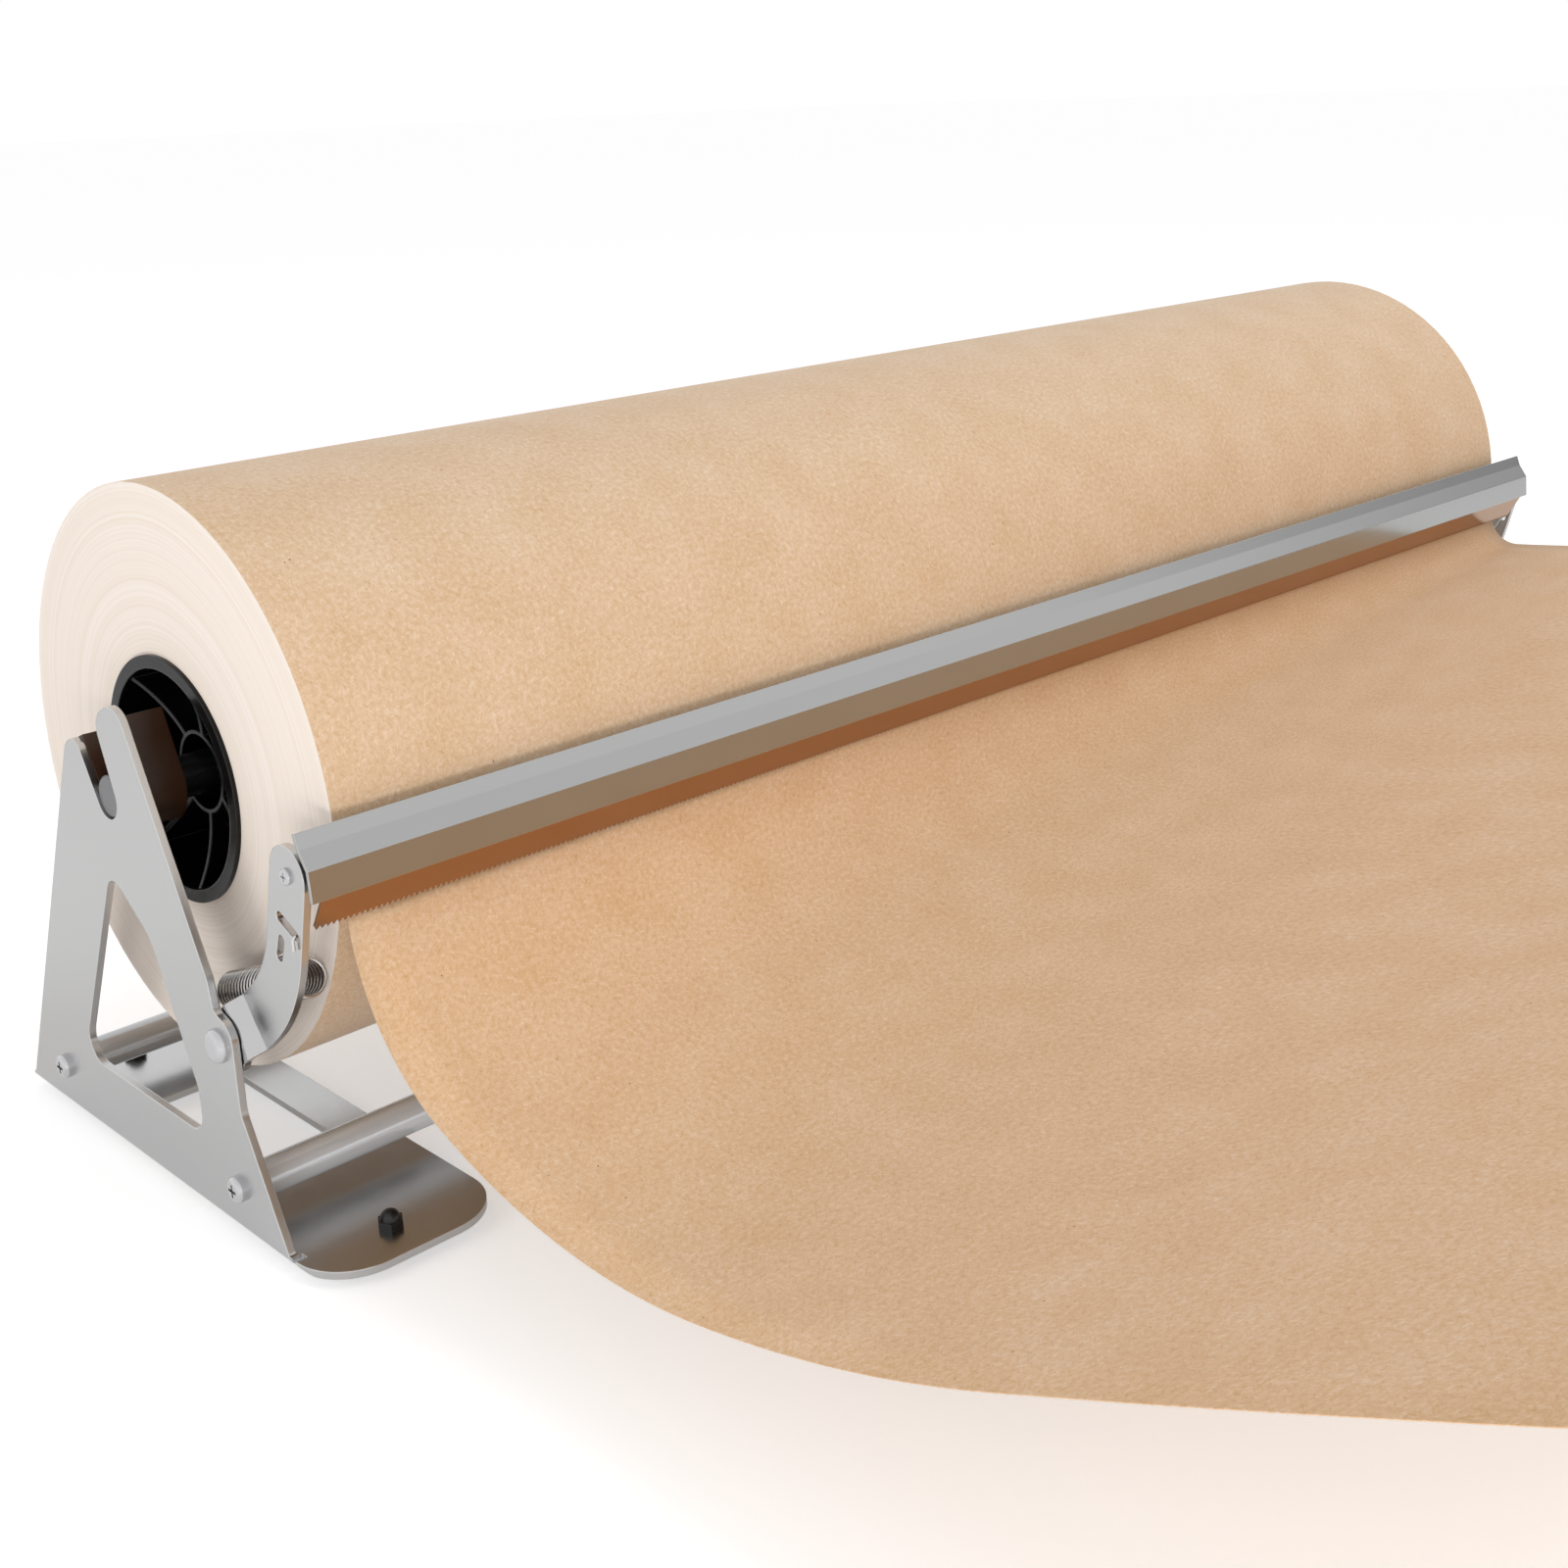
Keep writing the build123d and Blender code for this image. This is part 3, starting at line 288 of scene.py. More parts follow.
@dataclass(frozen=True)
class MouldedFinish:
    """Moulded plastic, rubber or wound board with a fine skin.

    Attributes:
        name: Common name of the material and how it was made.
        colour: Body colour, sRGB hex.
        worn: Colour of scuffs and dust, sRGB hex.
        roughness: Middle of the roughness.
        grit: Size of the skin's grain, in millimetres.
        bump: Height of the grain, in millimetres.
        ior: Index of refraction.
        edge: Colour of the highlight painted along the edges, sRGB hex.
        edge_width: Rounding of the edges, in millimetres, drawn wide enough to show.
        patch: Size of a scuff, in millimetres.
        most_worn: Share of the worn colour in the middle of a scuff.
    """

    name: str
    colour: str
    worn: str
    roughness: float
    grit: float
    bump: float
    ior: float
    edge: str
    edge_width: float
    patch: float = 9.0
    most_worn: float = 0.5

    def material(self) -> bpy.types.Material:
        """Build the material."""
        material, tree, shader = new_material(self.name)
        place = add_node(tree, "ShaderNodeTexCoord").outputs["Object"]
        skin = add_node(
            tree, "ShaderNodeTexNoise", {"Scale": 1 / (self.grit * MM), "Detail": 2.0}, {"Vector": place}
        )
        scuff = add_node(
            tree, "ShaderNodeTexNoise", {"Scale": 1 / (self.patch * MM), "Detail": 5.0}, {"Vector": place}
        )
        # Only the upper half of the noise is scuffed
        amount = add_node(
            tree,
            "ShaderNodeMapRange",
            {"From Min": 0.5, "From Max": 0.75, "To Min": 0.0, "To Max": self.most_worn},
            {"Value": scuff.outputs[0]},
        )
        tone = add_node(
            tree,
            "ShaderNodeMix",
            {"data_type": "RGBA", 6: to_linear(self.colour), 7: to_linear(self.worn)},
            {0: amount.outputs[0]},
        )
        rough = add_node(
            tree,
            "ShaderNodeMapRange",
            {
                "From Min": NOISE_LOW,
                "From Max": NOISE_HIGH,
                "To Min": self.roughness * 0.85,
                "To Max": self.roughness * 1.2,
            },
            {"Value": scuff.outputs[0]},
        )
        round_edge = add_node(
            tree, "ShaderNodeBevel", {"samples": BEVEL_SAMPLES, "Radius": self.edge_width * MM}
        )
        # The rounded edges are painted lighter, as a highlight
        highlighted = add_edge_highlights(tree, round_edge, tone, self.edge)
        bump = add_node(
            tree,
            "ShaderNodeBump",
            {"Strength": 0.3, "Distance": self.bump * MM},
            {"Height": skin.outputs[0], "Normal": round_edge.outputs[0]},
        )
        shader.inputs["IOR"].default_value = self.ior
        tree.links.new(highlighted.outputs[2], shader.inputs["Base Color"])
        tree.links.new(rough.outputs[0], shader.inputs["Roughness"])
        tree.links.new(bump.outputs[0], shader.inputs["Normal"])
        return material


@dataclass(frozen=True)
class KraftFinish:
    """Unbleached kraft paper, machine finished: tan, matt, with pale and dark fibres.

    Attributes:
        lay: Whether the paper is wound on the roll, leads off it or is drawn out flat.
        colour: Middle tan, sRGB hex.
        pale: Colour of the pale fibres and clouds, sRGB hex.
        dark: Colour of the dark fibres and clouds, sRGB hex.
        rim: Colour of the wound edges at the roll's ends, sRGB hex.
        rim_dark: Colour between the wound edges, sRGB hex.
        speck: Colour of the bark specks, sRGB hex.
        fibre: Length and width of a fibre, in millimetres, drawn coarse enough to show.
        strands: Turn of each lay of fibres, in degrees, and whether it is pale (1) or dark (-1).
        cloud: Size of the clouds that pulp leaves as it settles, in millimetres.
        mottle: Size of the mottle, in millimetres.
        cell: Spacing of the bark specks, in millimetres.
        rings: Width of the fine and the broad rings of layers on the ends, in millimetres.
        wander: How far the layers wander round the roll, in millimetres.
        relief: Height of the fibres and the layers, in millimetres.
        roughness: Roughness of the matt face.
        ior: Index of refraction.
        sheen: Weight of the loose fibres' sheen.
    """

    lay: Lay
    colour: str = "#DFBF9C"
    pale: str = "#F3DFCA"
    dark: str = "#C99C66"
    # rim: Colour of the wound edges at the roll's ends, sRGB hex, painted pale as painted light over the
    # tan of the layers.
    rim: str = "#F7EBE1"
    rim_dark: str = "#EFE0D1"
    speck: str = "#8A5C36"
    fibre: Spot = (5.0, 0.8)
    strands: tuple[Spot, ...] = ((18.0, 1.0), (-41.0, -1.0), (74.0, 1.0), (-79.0, -1.0))
    cloud: float = 35.0
    mottle: float = 2.5
    cell: float = 14.0
    rings: Spot = (1.6, 11.0)
    wander: float = 1.5
    relief: float = 0.06
    roughness: float = 0.78
    ior: float = 1.45
    sheen: float = 0.25

    def material(self) -> bpy.types.Material:
        """Build the material."""
        material, tree, shader = new_material(f"{self.lay.value}_kraft_paper")
        if self.lay is Lay.WOUND:
            flat, around = self._unrolled(tree)
        else:
            flat = add_node(tree, "ShaderNodeUVMap", {"uv_map": "flat"}).outputs["UV"]
            around = None
        tone, height = self._fibres(tree, flat)
        if around is not None:
            tone, height = self._wound_ends(tree, tone, height, around)
        bump = add_node(
            tree, "ShaderNodeBump", {"Strength": 0.5, "Distance": self.relief * MM}, {"Height": height}
        )
        shader.inputs["Roughness"].default_value = self.roughness
        shader.inputs["IOR"].default_value = self.ior
        shader.inputs["Sheen Weight"].default_value = self.sheen
        tree.links.new(tone, shader.inputs["Base Color"])
        tree.links.new(bump.outputs[0], shader.inputs["Normal"])
        return material

    def _unrolled(
        self, tree: bpy.types.NodeTree
    ) -> tuple[bpy.types.NodeSocket, bpy.types.NodeSocket]:
        """Unroll the cylinder round the axle.

        Args:
            tree: Node tree of the material.

        Returns:
            The place on the unrolled paper, and the place seen from the axle, both in metres.
        """
        place = add_node(tree, "ShaderNodeTexCoord").outputs["Object"]
        centred = add_node(tree, "ShaderNodeMapping", {"Location": -AXLE}, {"Vector": place})
        seen = centred.outputs["Vector"]
        split = add_node(tree, "ShaderNodeSeparateXYZ", links={0: seen})
        turn = add_node(
            tree, "ShaderNodeMath", {"operation": "ARCTAN2"}, {0: split.outputs[1], 1: split.outputs[2]}
        )
        arc = add_node(
            tree, "ShaderNodeMath", {"operation": "MULTIPLY", 1: ROLL_RADIUS}, {0: turn.outputs[0]}
        )
        flat = add_node(
            tree, "ShaderNodeCombineXYZ", links={0: split.outputs[0], 1: arc.outputs[0]}
        )
        return flat.outputs[0], seen

    def _fibres(
        self, tree: bpy.types.NodeTree, flat: bpy.types.NodeSocket
    ) -> tuple[bpy.types.NodeSocket, bpy.types.NodeSocket]:
        """Lay clouds, mottle and loose fibres over the flat paper.

        Args:
            tree: Node tree of the material.
            flat: Place on the flat paper, in metres.

        Returns:
            The colour and the height of the surface.
        """
        cloud = add_node(
            tree, "ShaderNodeTexNoise", {"Scale": 1 / (self.cloud * MM), "Detail": 3.0}, {"Vector": flat}
        )
        mottle = add_node(
            tree,
            "ShaderNodeTexNoise",
            {"Scale": 1 / (self.mottle * MM), "Detail": 5.0, "Roughness": 0.7},
            {"Vector": flat},
        )
        # Mostly mottle, which the eye sees first
        ground = add_node(
            tree,
            "ShaderNodeMix",
            {"data_type": "FLOAT", 0: 0.75},
            {2: cloud.outputs[0], 3: mottle.outputs[0]},
        ).outputs[0]
        # The share is above 0 where the paper is pale and under 0 where it is dark
        share = add_node(
            tree,
            "ShaderNodeMapRange",
            {"From Min": 0.32, "From Max": 0.68, "To Min": -0.5, "To Max": 0.5, "clamp": False},
            {"Value": ground},
        ).outputs[0]
        length, width = self.fibre
        for turn, sign in self.strands:
            laid = add_node(
                tree,
                "ShaderNodeMapping",
                {
                    "vector_type": "TEXTURE",
                    "Location": (turn * MM, turn * 2 * MM, 0.0),
                    "Rotation": (0.0, 0.0, math.radians(turn)),
                    "Scale": (length * MM, width * MM, 1.0),
                },
                {"Vector": flat},
            )
            strand = add_node(
                tree,
                "ShaderNodeTexNoise",
                {"Scale": 1.0, "Detail": 1.0, "Distortion": 0.4},
                {"Vector": laid.outputs[0]},
            )
            seen = add_node(
                tree,
                "ShaderNodeMapRange",
                {"From Min": 0.58, "From Max": 0.72, "To Min": 0.0, "To Max": 0.3 * sign},
                {"Value": strand.outputs[0]},
            )
            share = add_node(
                tree, "ShaderNodeMath", {"operation": "ADD"}, {0: share, 1: seen.outputs[0]}
            ).outputs[0]
        lighter = add_node(
            tree,
            "ShaderNodeMix",
            {
                "data_type": "RGBA",
                "clamp_factor": True,
                6: to_linear(self.colour),
                7: to_linear(self.pale),
            },
            {0: share},
        )
        under = add_node(tree, "ShaderNodeMath", {"operation": "MULTIPLY", 1: -1.0}, {0: share})
        tone = add_node(
            tree,
            "ShaderNodeMix",
            {"data_type": "RGBA", "clamp_factor": True, 7: to_linear(self.dark)},
            {0: under.outputs[0], 6: lighter.outputs[2]},
        )
        # One speck of bark in each cell, about 0.8 mm wide, and strong or faint by chance
        cells = add_node(
            tree, "ShaderNodeTexVoronoi", {"Scale": 1 / (self.cell * MM)}, {"Vector": flat}
        )
        near = add_node(
            tree, "ShaderNodeMath", {"operation": "LESS_THAN", 1: 0.03}, {0: cells.outputs["Distance"]}
        )
        chance = add_node(tree, "ShaderNodeSeparateXYZ", links={0: cells.outputs["Color"]})
        some = add_node(
            tree, "ShaderNodeMath", {"operation": "MULTIPLY"}, {0: near.outputs[0], 1: chance.outputs[0]}
        )
        specked = add_node(
            tree,
            "ShaderNodeMix",
            {"data_type": "RGBA", 7: to_linear(self.speck)},
            {0: some.outputs[0], 6: tone.outputs[2]},
        )
        return specked.outputs[2], share

    def _wound_ends(
        self,
        tree: bpy.types.NodeTree,
        tone: bpy.types.NodeSocket,
        height: bpy.types.NodeSocket,
        seen: bpy.types.NodeSocket,
    ) -> tuple[bpy.types.NodeSocket, bpy.types.NodeSocket]:
        """Show the edges of the layers on the roll's flat ends.

        Args:
            tree: Node tree of the material.
            tone: Colour of the paper's face.
            height: Height of the paper's face.
            seen: Place seen from the axle, in metres.

        Returns:
            The colour and the height over the whole roll.
        """
        radial = add_node(
            tree, "ShaderNodeVectorMath", {"operation": "MULTIPLY", 1: (0.0, 1.0, 1.0)}, {0: seen}
        )
        # The layers wander in waves about 60 mm long
        wander = add_node(
            tree, "ShaderNodeTexNoise", {"Scale": 1 / (60 * MM), "Detail": 1.0}, {"Vector": seen}
        )
        away = add_node(
            tree, "ShaderNodeVectorMath", {"operation": "LENGTH"}, {0: radial.outputs[0]}
        )
        shift = add_node(
            tree,
            "ShaderNodeMath",
            {"operation": "MULTIPLY_ADD", 1: self.wander * MM},
            {0: wander.outputs[0], 2: away.outputs["Value"]},
        )
        # Bundles of layers show as fine rings within broad ones
        narrow, wide = self.rings
        fine = add_node(
            tree,
            "ShaderNodeTexNoise",
            {"noise_dimensions": "1D", "Scale": 1 / (narrow * MM), "Detail": 3.0},
            {"W": shift.outputs[0]},
        )
        broad = add_node(
            tree,
            "ShaderNodeTexNoise",
            {"noise_dimensions": "1D", "Scale": 1 / (wide * MM), "Detail": 1.0},
            {"W": shift.outputs[0]},
        )
        rings = add_node(
            tree,
            "ShaderNodeMix",
            {"data_type": "FLOAT", 0: 0.4},
            {2: fine.outputs[0], 3: broad.outputs[0]},
        ).outputs[0]
        spread = add_node(
            tree, "ShaderNodeMapRange", {"From Min": 0.35, "From Max": 0.62}, {"Value": rings}
        ).outputs[0]
        # The rings are the layers; their paleness is painted light, as bright as the lit end looks
        layers = add_node(
            tree,
            "ShaderNodeMix",
            {"data_type": "RGBA", 6: to_linear(self.rim_dark), 7: to_linear(self.rim)},
            {0: spread},
        )
        # The ends are the faces that look along the axle
        normal = add_node(tree, "ShaderNodeTexCoord").outputs["Normal"]
        facing = add_node(tree, "ShaderNodeSeparateXYZ", links={0: normal})
        size = add_node(tree, "ShaderNodeMath", {"operation": "ABSOLUTE"}, {0: facing.outputs[0]})
        on_end = add_node(
            tree, "ShaderNodeMath", {"operation": "GREATER_THAN", 1: 0.7}, {0: size.outputs[0]}
        ).outputs[0]
        colour = add_node(
            tree, "ShaderNodeMix", {"data_type": "RGBA"}, {0: on_end, 6: tone, 7: layers.outputs[2]}
        )
        relief = add_node(
            tree, "ShaderNodeMix", {"data_type": "FLOAT"}, {0: on_end, 2: height, 3: spread}
        )
        return colour.outputs[2], relief.outputs[0]


@dataclass(frozen=True)
class Finishes:
    """Every finish of the dispenser; the edge colours of the metal and moulded finishes are highlights
    painted along rounded edges.
    """

    # Cold-rolled sheet, satin plated: soft grey with a faint grain and a bright highlight painted along
    # the sheared edges
    satin_sheet: MetalFinish = MetalFinish(
        "satin_plated_sheet_steel", "#C9C9C9", 0.24, 0.03, (6, 6, 6), 0.0005, 0.7, "#F0F0EE"
    )
    # Folded bar, rolled along its length: clear reflections of the paper beside it
    folded_bar: MetalFinish = MetalFinish(
        "rolled_aluminium_bar", "#B4B5B4", 0.15, 0.04, (60, 0.8, 0.8), 0.006, 0.5, "#DADAD8"
    )
    # Round bar in silver lacquer: pale flake under a clear skin, with soft streaks along it, and a faint
    # blue painted in against the warm light that the paper bounces onto it
    lacquered_bar: MetalFinish = MetalFinish(
        "silver_lacquered_bar", "#E8EDF2", 0.2, 0.04, (40, 1, 1), 0.002, 0.4, "#F0F2F4",
        metallic=0.3,
    )
    # Bright nickel plate on small screws and rivets
    plated_screw: MetalFinish = MetalFinish(
        "nickel_plated_steel", "#D2D2D4", 0.14, 0.05, (2, 2, 2), 0.005, 0.3, "#EFEFEF"
    )
    # Drawn axle rod, dull where it was cut
    axle_steel: MetalFinish = MetalFinish(
        # Drawn axle rod, dark grey, with a paler highlight painted along its edges
        "drawn_axle_steel", "#858587", 0.34, 0.08, (12, 1, 1), 0.01, 0.5, "#B4B4B4"
    )
    # Spring steel strip, ground across for the teeth, its tan-brown colour a painted reflection of the
    # paper
    blade_steel: MetalFinish = MetalFinish(
        "tempered_spring_steel", "#A87F5C", 0.2, 0.06, (30, 0.7, 0.7), 0.006, 0.15, "#C9A27C"
    )
    # Bright drawn spring wire: pale along the crests, with shade painted dark between the turns
    spring_wire: MetalFinish = MetalFinish(
        "bright_drawn_spring_wire", "#E2E0DE", 0.16, 0.05, (3, 3, 3), 0.004, 0.1, "#E2E0DE",
        gap_shade="#55493F",
    )
    # Glossy injection moulding: deep black with clear highlights and grey highlights painted along the
    # edges
    black_moulding: MouldedFinish = MouldedFinish(
        "moulded_black_abs", "#0B0B0C", "#161617", 0.24, 0.6, 0.01, 1.32, "#3C3C3C", 0.9
    )
    # Bearing nylon of the saddles, waxy: its deep brown is a painted reflection of the tan paper on the
    # dark nylon
    saddle_nylon: MouldedFinish = MouldedFinish(
        "nylon_with_painted_brown_reflection", "#3A2314", "#2C1A0F", 0.34, 0.6, 0.01, 1.53, "#4A2E1B", 0.6
    )
    # Acorn caps over the studs: black with a soft gloss, a little duller than the plugs
    black_cap: MouldedFinish = MouldedFinish(
        "black_nylon_cap", "#0D0D0E", "#1A1A1B", 0.3, 0.5, 0.01, 1.53, "#2C2C2C", 0.5
    )
    # Pressed rubber feet: dull grey-black
    foot_rubber: MouldedFinish = MouldedFinish(
        "pressed_black_rubber", "#1B1B1B", "#2A2A29", 0.8, 0.5, 0.03, 1.5, "#303030", 0.5
    )
    # Spiral wound board core: rough brown
    core_board: MouldedFinish = MouldedFinish(
        "wound_core_board", "#A98963", "#8F7150", 0.85, 0.8, 0.05, 1.45, "#B79A76", 0.5
    )
    # Kraft paper: matt tan with clouds and loose fibres, and layers on the roll's ends painted pale with
    # painted light
    wound_paper: KraftFinish = KraftFinish(Lay.WOUND)
    leading_paper: KraftFinish = KraftFinish(Lay.LEADING)
    # The open sheet is painted deeper and more orange than the tight turns, as painted shade
    drawn_paper: KraftFinish = KraftFinish(
        Lay.DRAWN, colour="#DBB58E", pale="#EED5BB", dark="#C4945B"
    )


@dataclass
class Dressing:
    """Rigid nodes that keep their shape and take a finish.

    Attributes:
        finish: Finish of the nodes.
        nodes: Names of the nodes.
    """

    finish: MetalFinish | MouldedFinish | KraftFinish
    nodes: tuple[str, ...]

    def dress(self) -> None:
        """Put the finish on every node."""
        material = self.finish.material()
        for name in self.nodes:
            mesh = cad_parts[name].data
            mesh.materials.clear()
            mesh.materials.append(material)
            LOG.info("dressed %s with %s", name, material.name)


@dataclass
class DrawnSheet:
    """Kraft paper drawn off the roll, under the teeth and out to the front.

    Stops are along Y and Z from the axle, in millimetres, and are joined by tangent arcs.

    Attributes:
        wrap: Radius of the sheet round the roll, in millimetres.
        start: Radius where the sheet parts from the outer turn, in millimetres.
        wrap_angle: Where the sheet starts on the roll, degrees above level.
        leave_angle: Where it leaves the roll, degrees above level.
        left: Stops of the left edge, from the teeth to the end.
        right: Stops of the right edge.
        paper: Thickness, in millimetres.
        columns: Columns of faces across the sheet.
        rows: Rows of faces in each arc.
    """

    wrap: float = 129.9
    start: float = 129.56
    wrap_angle: float = 5.0
    leave_angle: float = 3.0
    left: tuple[Spot, ...] = (
        (-132.2, -27.0), (-185.0, -99.5), (-330.0, -117.0), (-460.0, -78.8), (-655.0, 9.0),
    )
    right: tuple[Spot, ...] = (
        (-131.0, -23.0), (-152.0, -41.5), (-230.0, -32.0), (-460.0, 14.0), (-706.0, 62.0),
    )
    paper: float = 0.4
    columns: int = 48
    rows: tuple[int, ...] = (4, 8, 18, 24, 20, 18)

    def edge(self, stops: tuple[Spot, ...]) -> list[list[Vector]]:
        """Follow one edge along its tangent arcs.

        Args:
            stops: Stops of the edge, from the teeth to the end.

        Returns:
            One list of points for each arc, along Y and Z from the axle, in metres.
        """
        high, low = math.radians(self.wrap_angle), math.radians(self.leave_angle)
        on_roll = [
            (-self.wrap * math.cos(turn), self.wrap * math.sin(turn)) for turn in (high, low)
        ]
        spots = [Vector(spot) * MM for spot in (*on_roll, *stops)]
        heading = Vector((-math.sin(high), -math.cos(high)))
        arcs: list[list[Vector]] = []
        for start, end, count in zip(spots, spots[1:], self.rows):
            chord = end - start
            half = math.atan2(heading.cross(chord), heading.dot(chord))
            points = []
            for step in range(count + 1):
                part = step / count
                ahead = heading.copy()
                ahead.rotate(Matrix.Rotation(half * part, 2))
                share = math.sin(half * part) / math.sin(half) if abs(half) > STRAIGHT else part
                points.append(start + ahead * (chord.length * share))
            if not arcs:
                # The first arc rises from the outer turn to the radius of the sheet
                points = [
                    point * (self.start + (self.wrap - self.start) * step / count) / self.wrap
                    for step, point in enumerate(points)
                ]
            arcs.append(points)
            heading.rotate(Matrix.Rotation(2 * half, 2))
        return arcs

    def web(self, name: str, first: int, last: int) -> bpy.types.Object:
        """Build a run of the sheet as one ruled surface with its flat map.

        Args:
            name: Name of the piece.
            first: First arc of the run.
            last: Arc after the last of the run.

        Returns:
            The sheet's object.
        """
        sides = []
        for stops in (self.left, self.right):
            line = [spot for arc in self.edge(stops)[first:last] for spot in arc[:-1]]
            sides.append(line + [self.edge(stops)[last - 1][-1]])
        rows = len(sides[0]) - 1
        mesh = bpy.data.meshes.new(name)
        shape = bmesh.new()
        bmesh.ops.create_grid(shape, x_segments=self.columns, y_segments=rows, size=1.0)
        shape.verts.ensure_lookup_table()
        flat = shape.loops.layers.uv.new("flat")
        run = [0.0]
        for near, far in zip(sides[0], sides[0][1:]):
            run.append(run[-1] + (far - near).length)
        spread = {vert: (vert.co.x, round((vert.co.y + 1) / 2 * rows)) for vert in shape.verts}
        for vert, (across, row) in spread.items():
            spot = sides[0][row].lerp(sides[1][row], (across + 1) / 2)
            vert.co = (across * ROLL_HALF, AXLE.y + spot.x, AXLE.z + spot.y)
        for face in shape.faces:
            for loop in face.loops:
                across, row = spread[loop.vert]
                # The runs lie metres apart on the map, so that their fibres differ
                loop[flat].uv = (across * ROLL_HALF, run[row] + first)
            face.smooth = True
        bmesh.ops.recalc_face_normals(shape, faces=shape.faces)
        shape.faces.ensure_lookup_table()
        if shape.faces[0].normal.y > 0:
            bmesh.ops.reverse_faces(shape, faces=shape.faces)
        order = [row for _, row in spread.values()]
        shape.to_mesh(mesh)
        shape.free()
        piece = add_object(name, mesh)
        # The grid lies on the face that touches the roll, and the paper stands in front of it
        wall = piece.modifiers.new("paper", "SOLIDIFY")
        wall.thickness = self.paper * MM
        wall.offset = 1.0
        if first == 0:
            # The lead grows out of the outer turn with no step
            depth = piece.vertex_groups.new(name="paper_depth")
            for index, row in enumerate(order):
                depth.add([index], min(row / self.rows[0], 1.0), "REPLACE")
            wall.vertex_group = depth.name
        return piece

    def build(self, leading: KraftFinish, open_air: KraftFinish) -> None:
        """Build both runs of the sheet and dress them.

        Args:
            leading: Finish of the paper between the roll and the teeth.
            open_air: Finish of the paper past the teeth.
        """
        lead = self.web("sheet_lead", 0, 2)
        drawn = self.web("drawn_sheet", 2, len(self.rows))
        for piece, finish in ((lead, leading), (drawn, open_air)):
            piece.data.materials.append(finish.material())
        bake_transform(lead)
        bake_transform(drawn)
        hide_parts("paper_sheet")
        LOG.info("built sheet_lead and drawn_sheet")


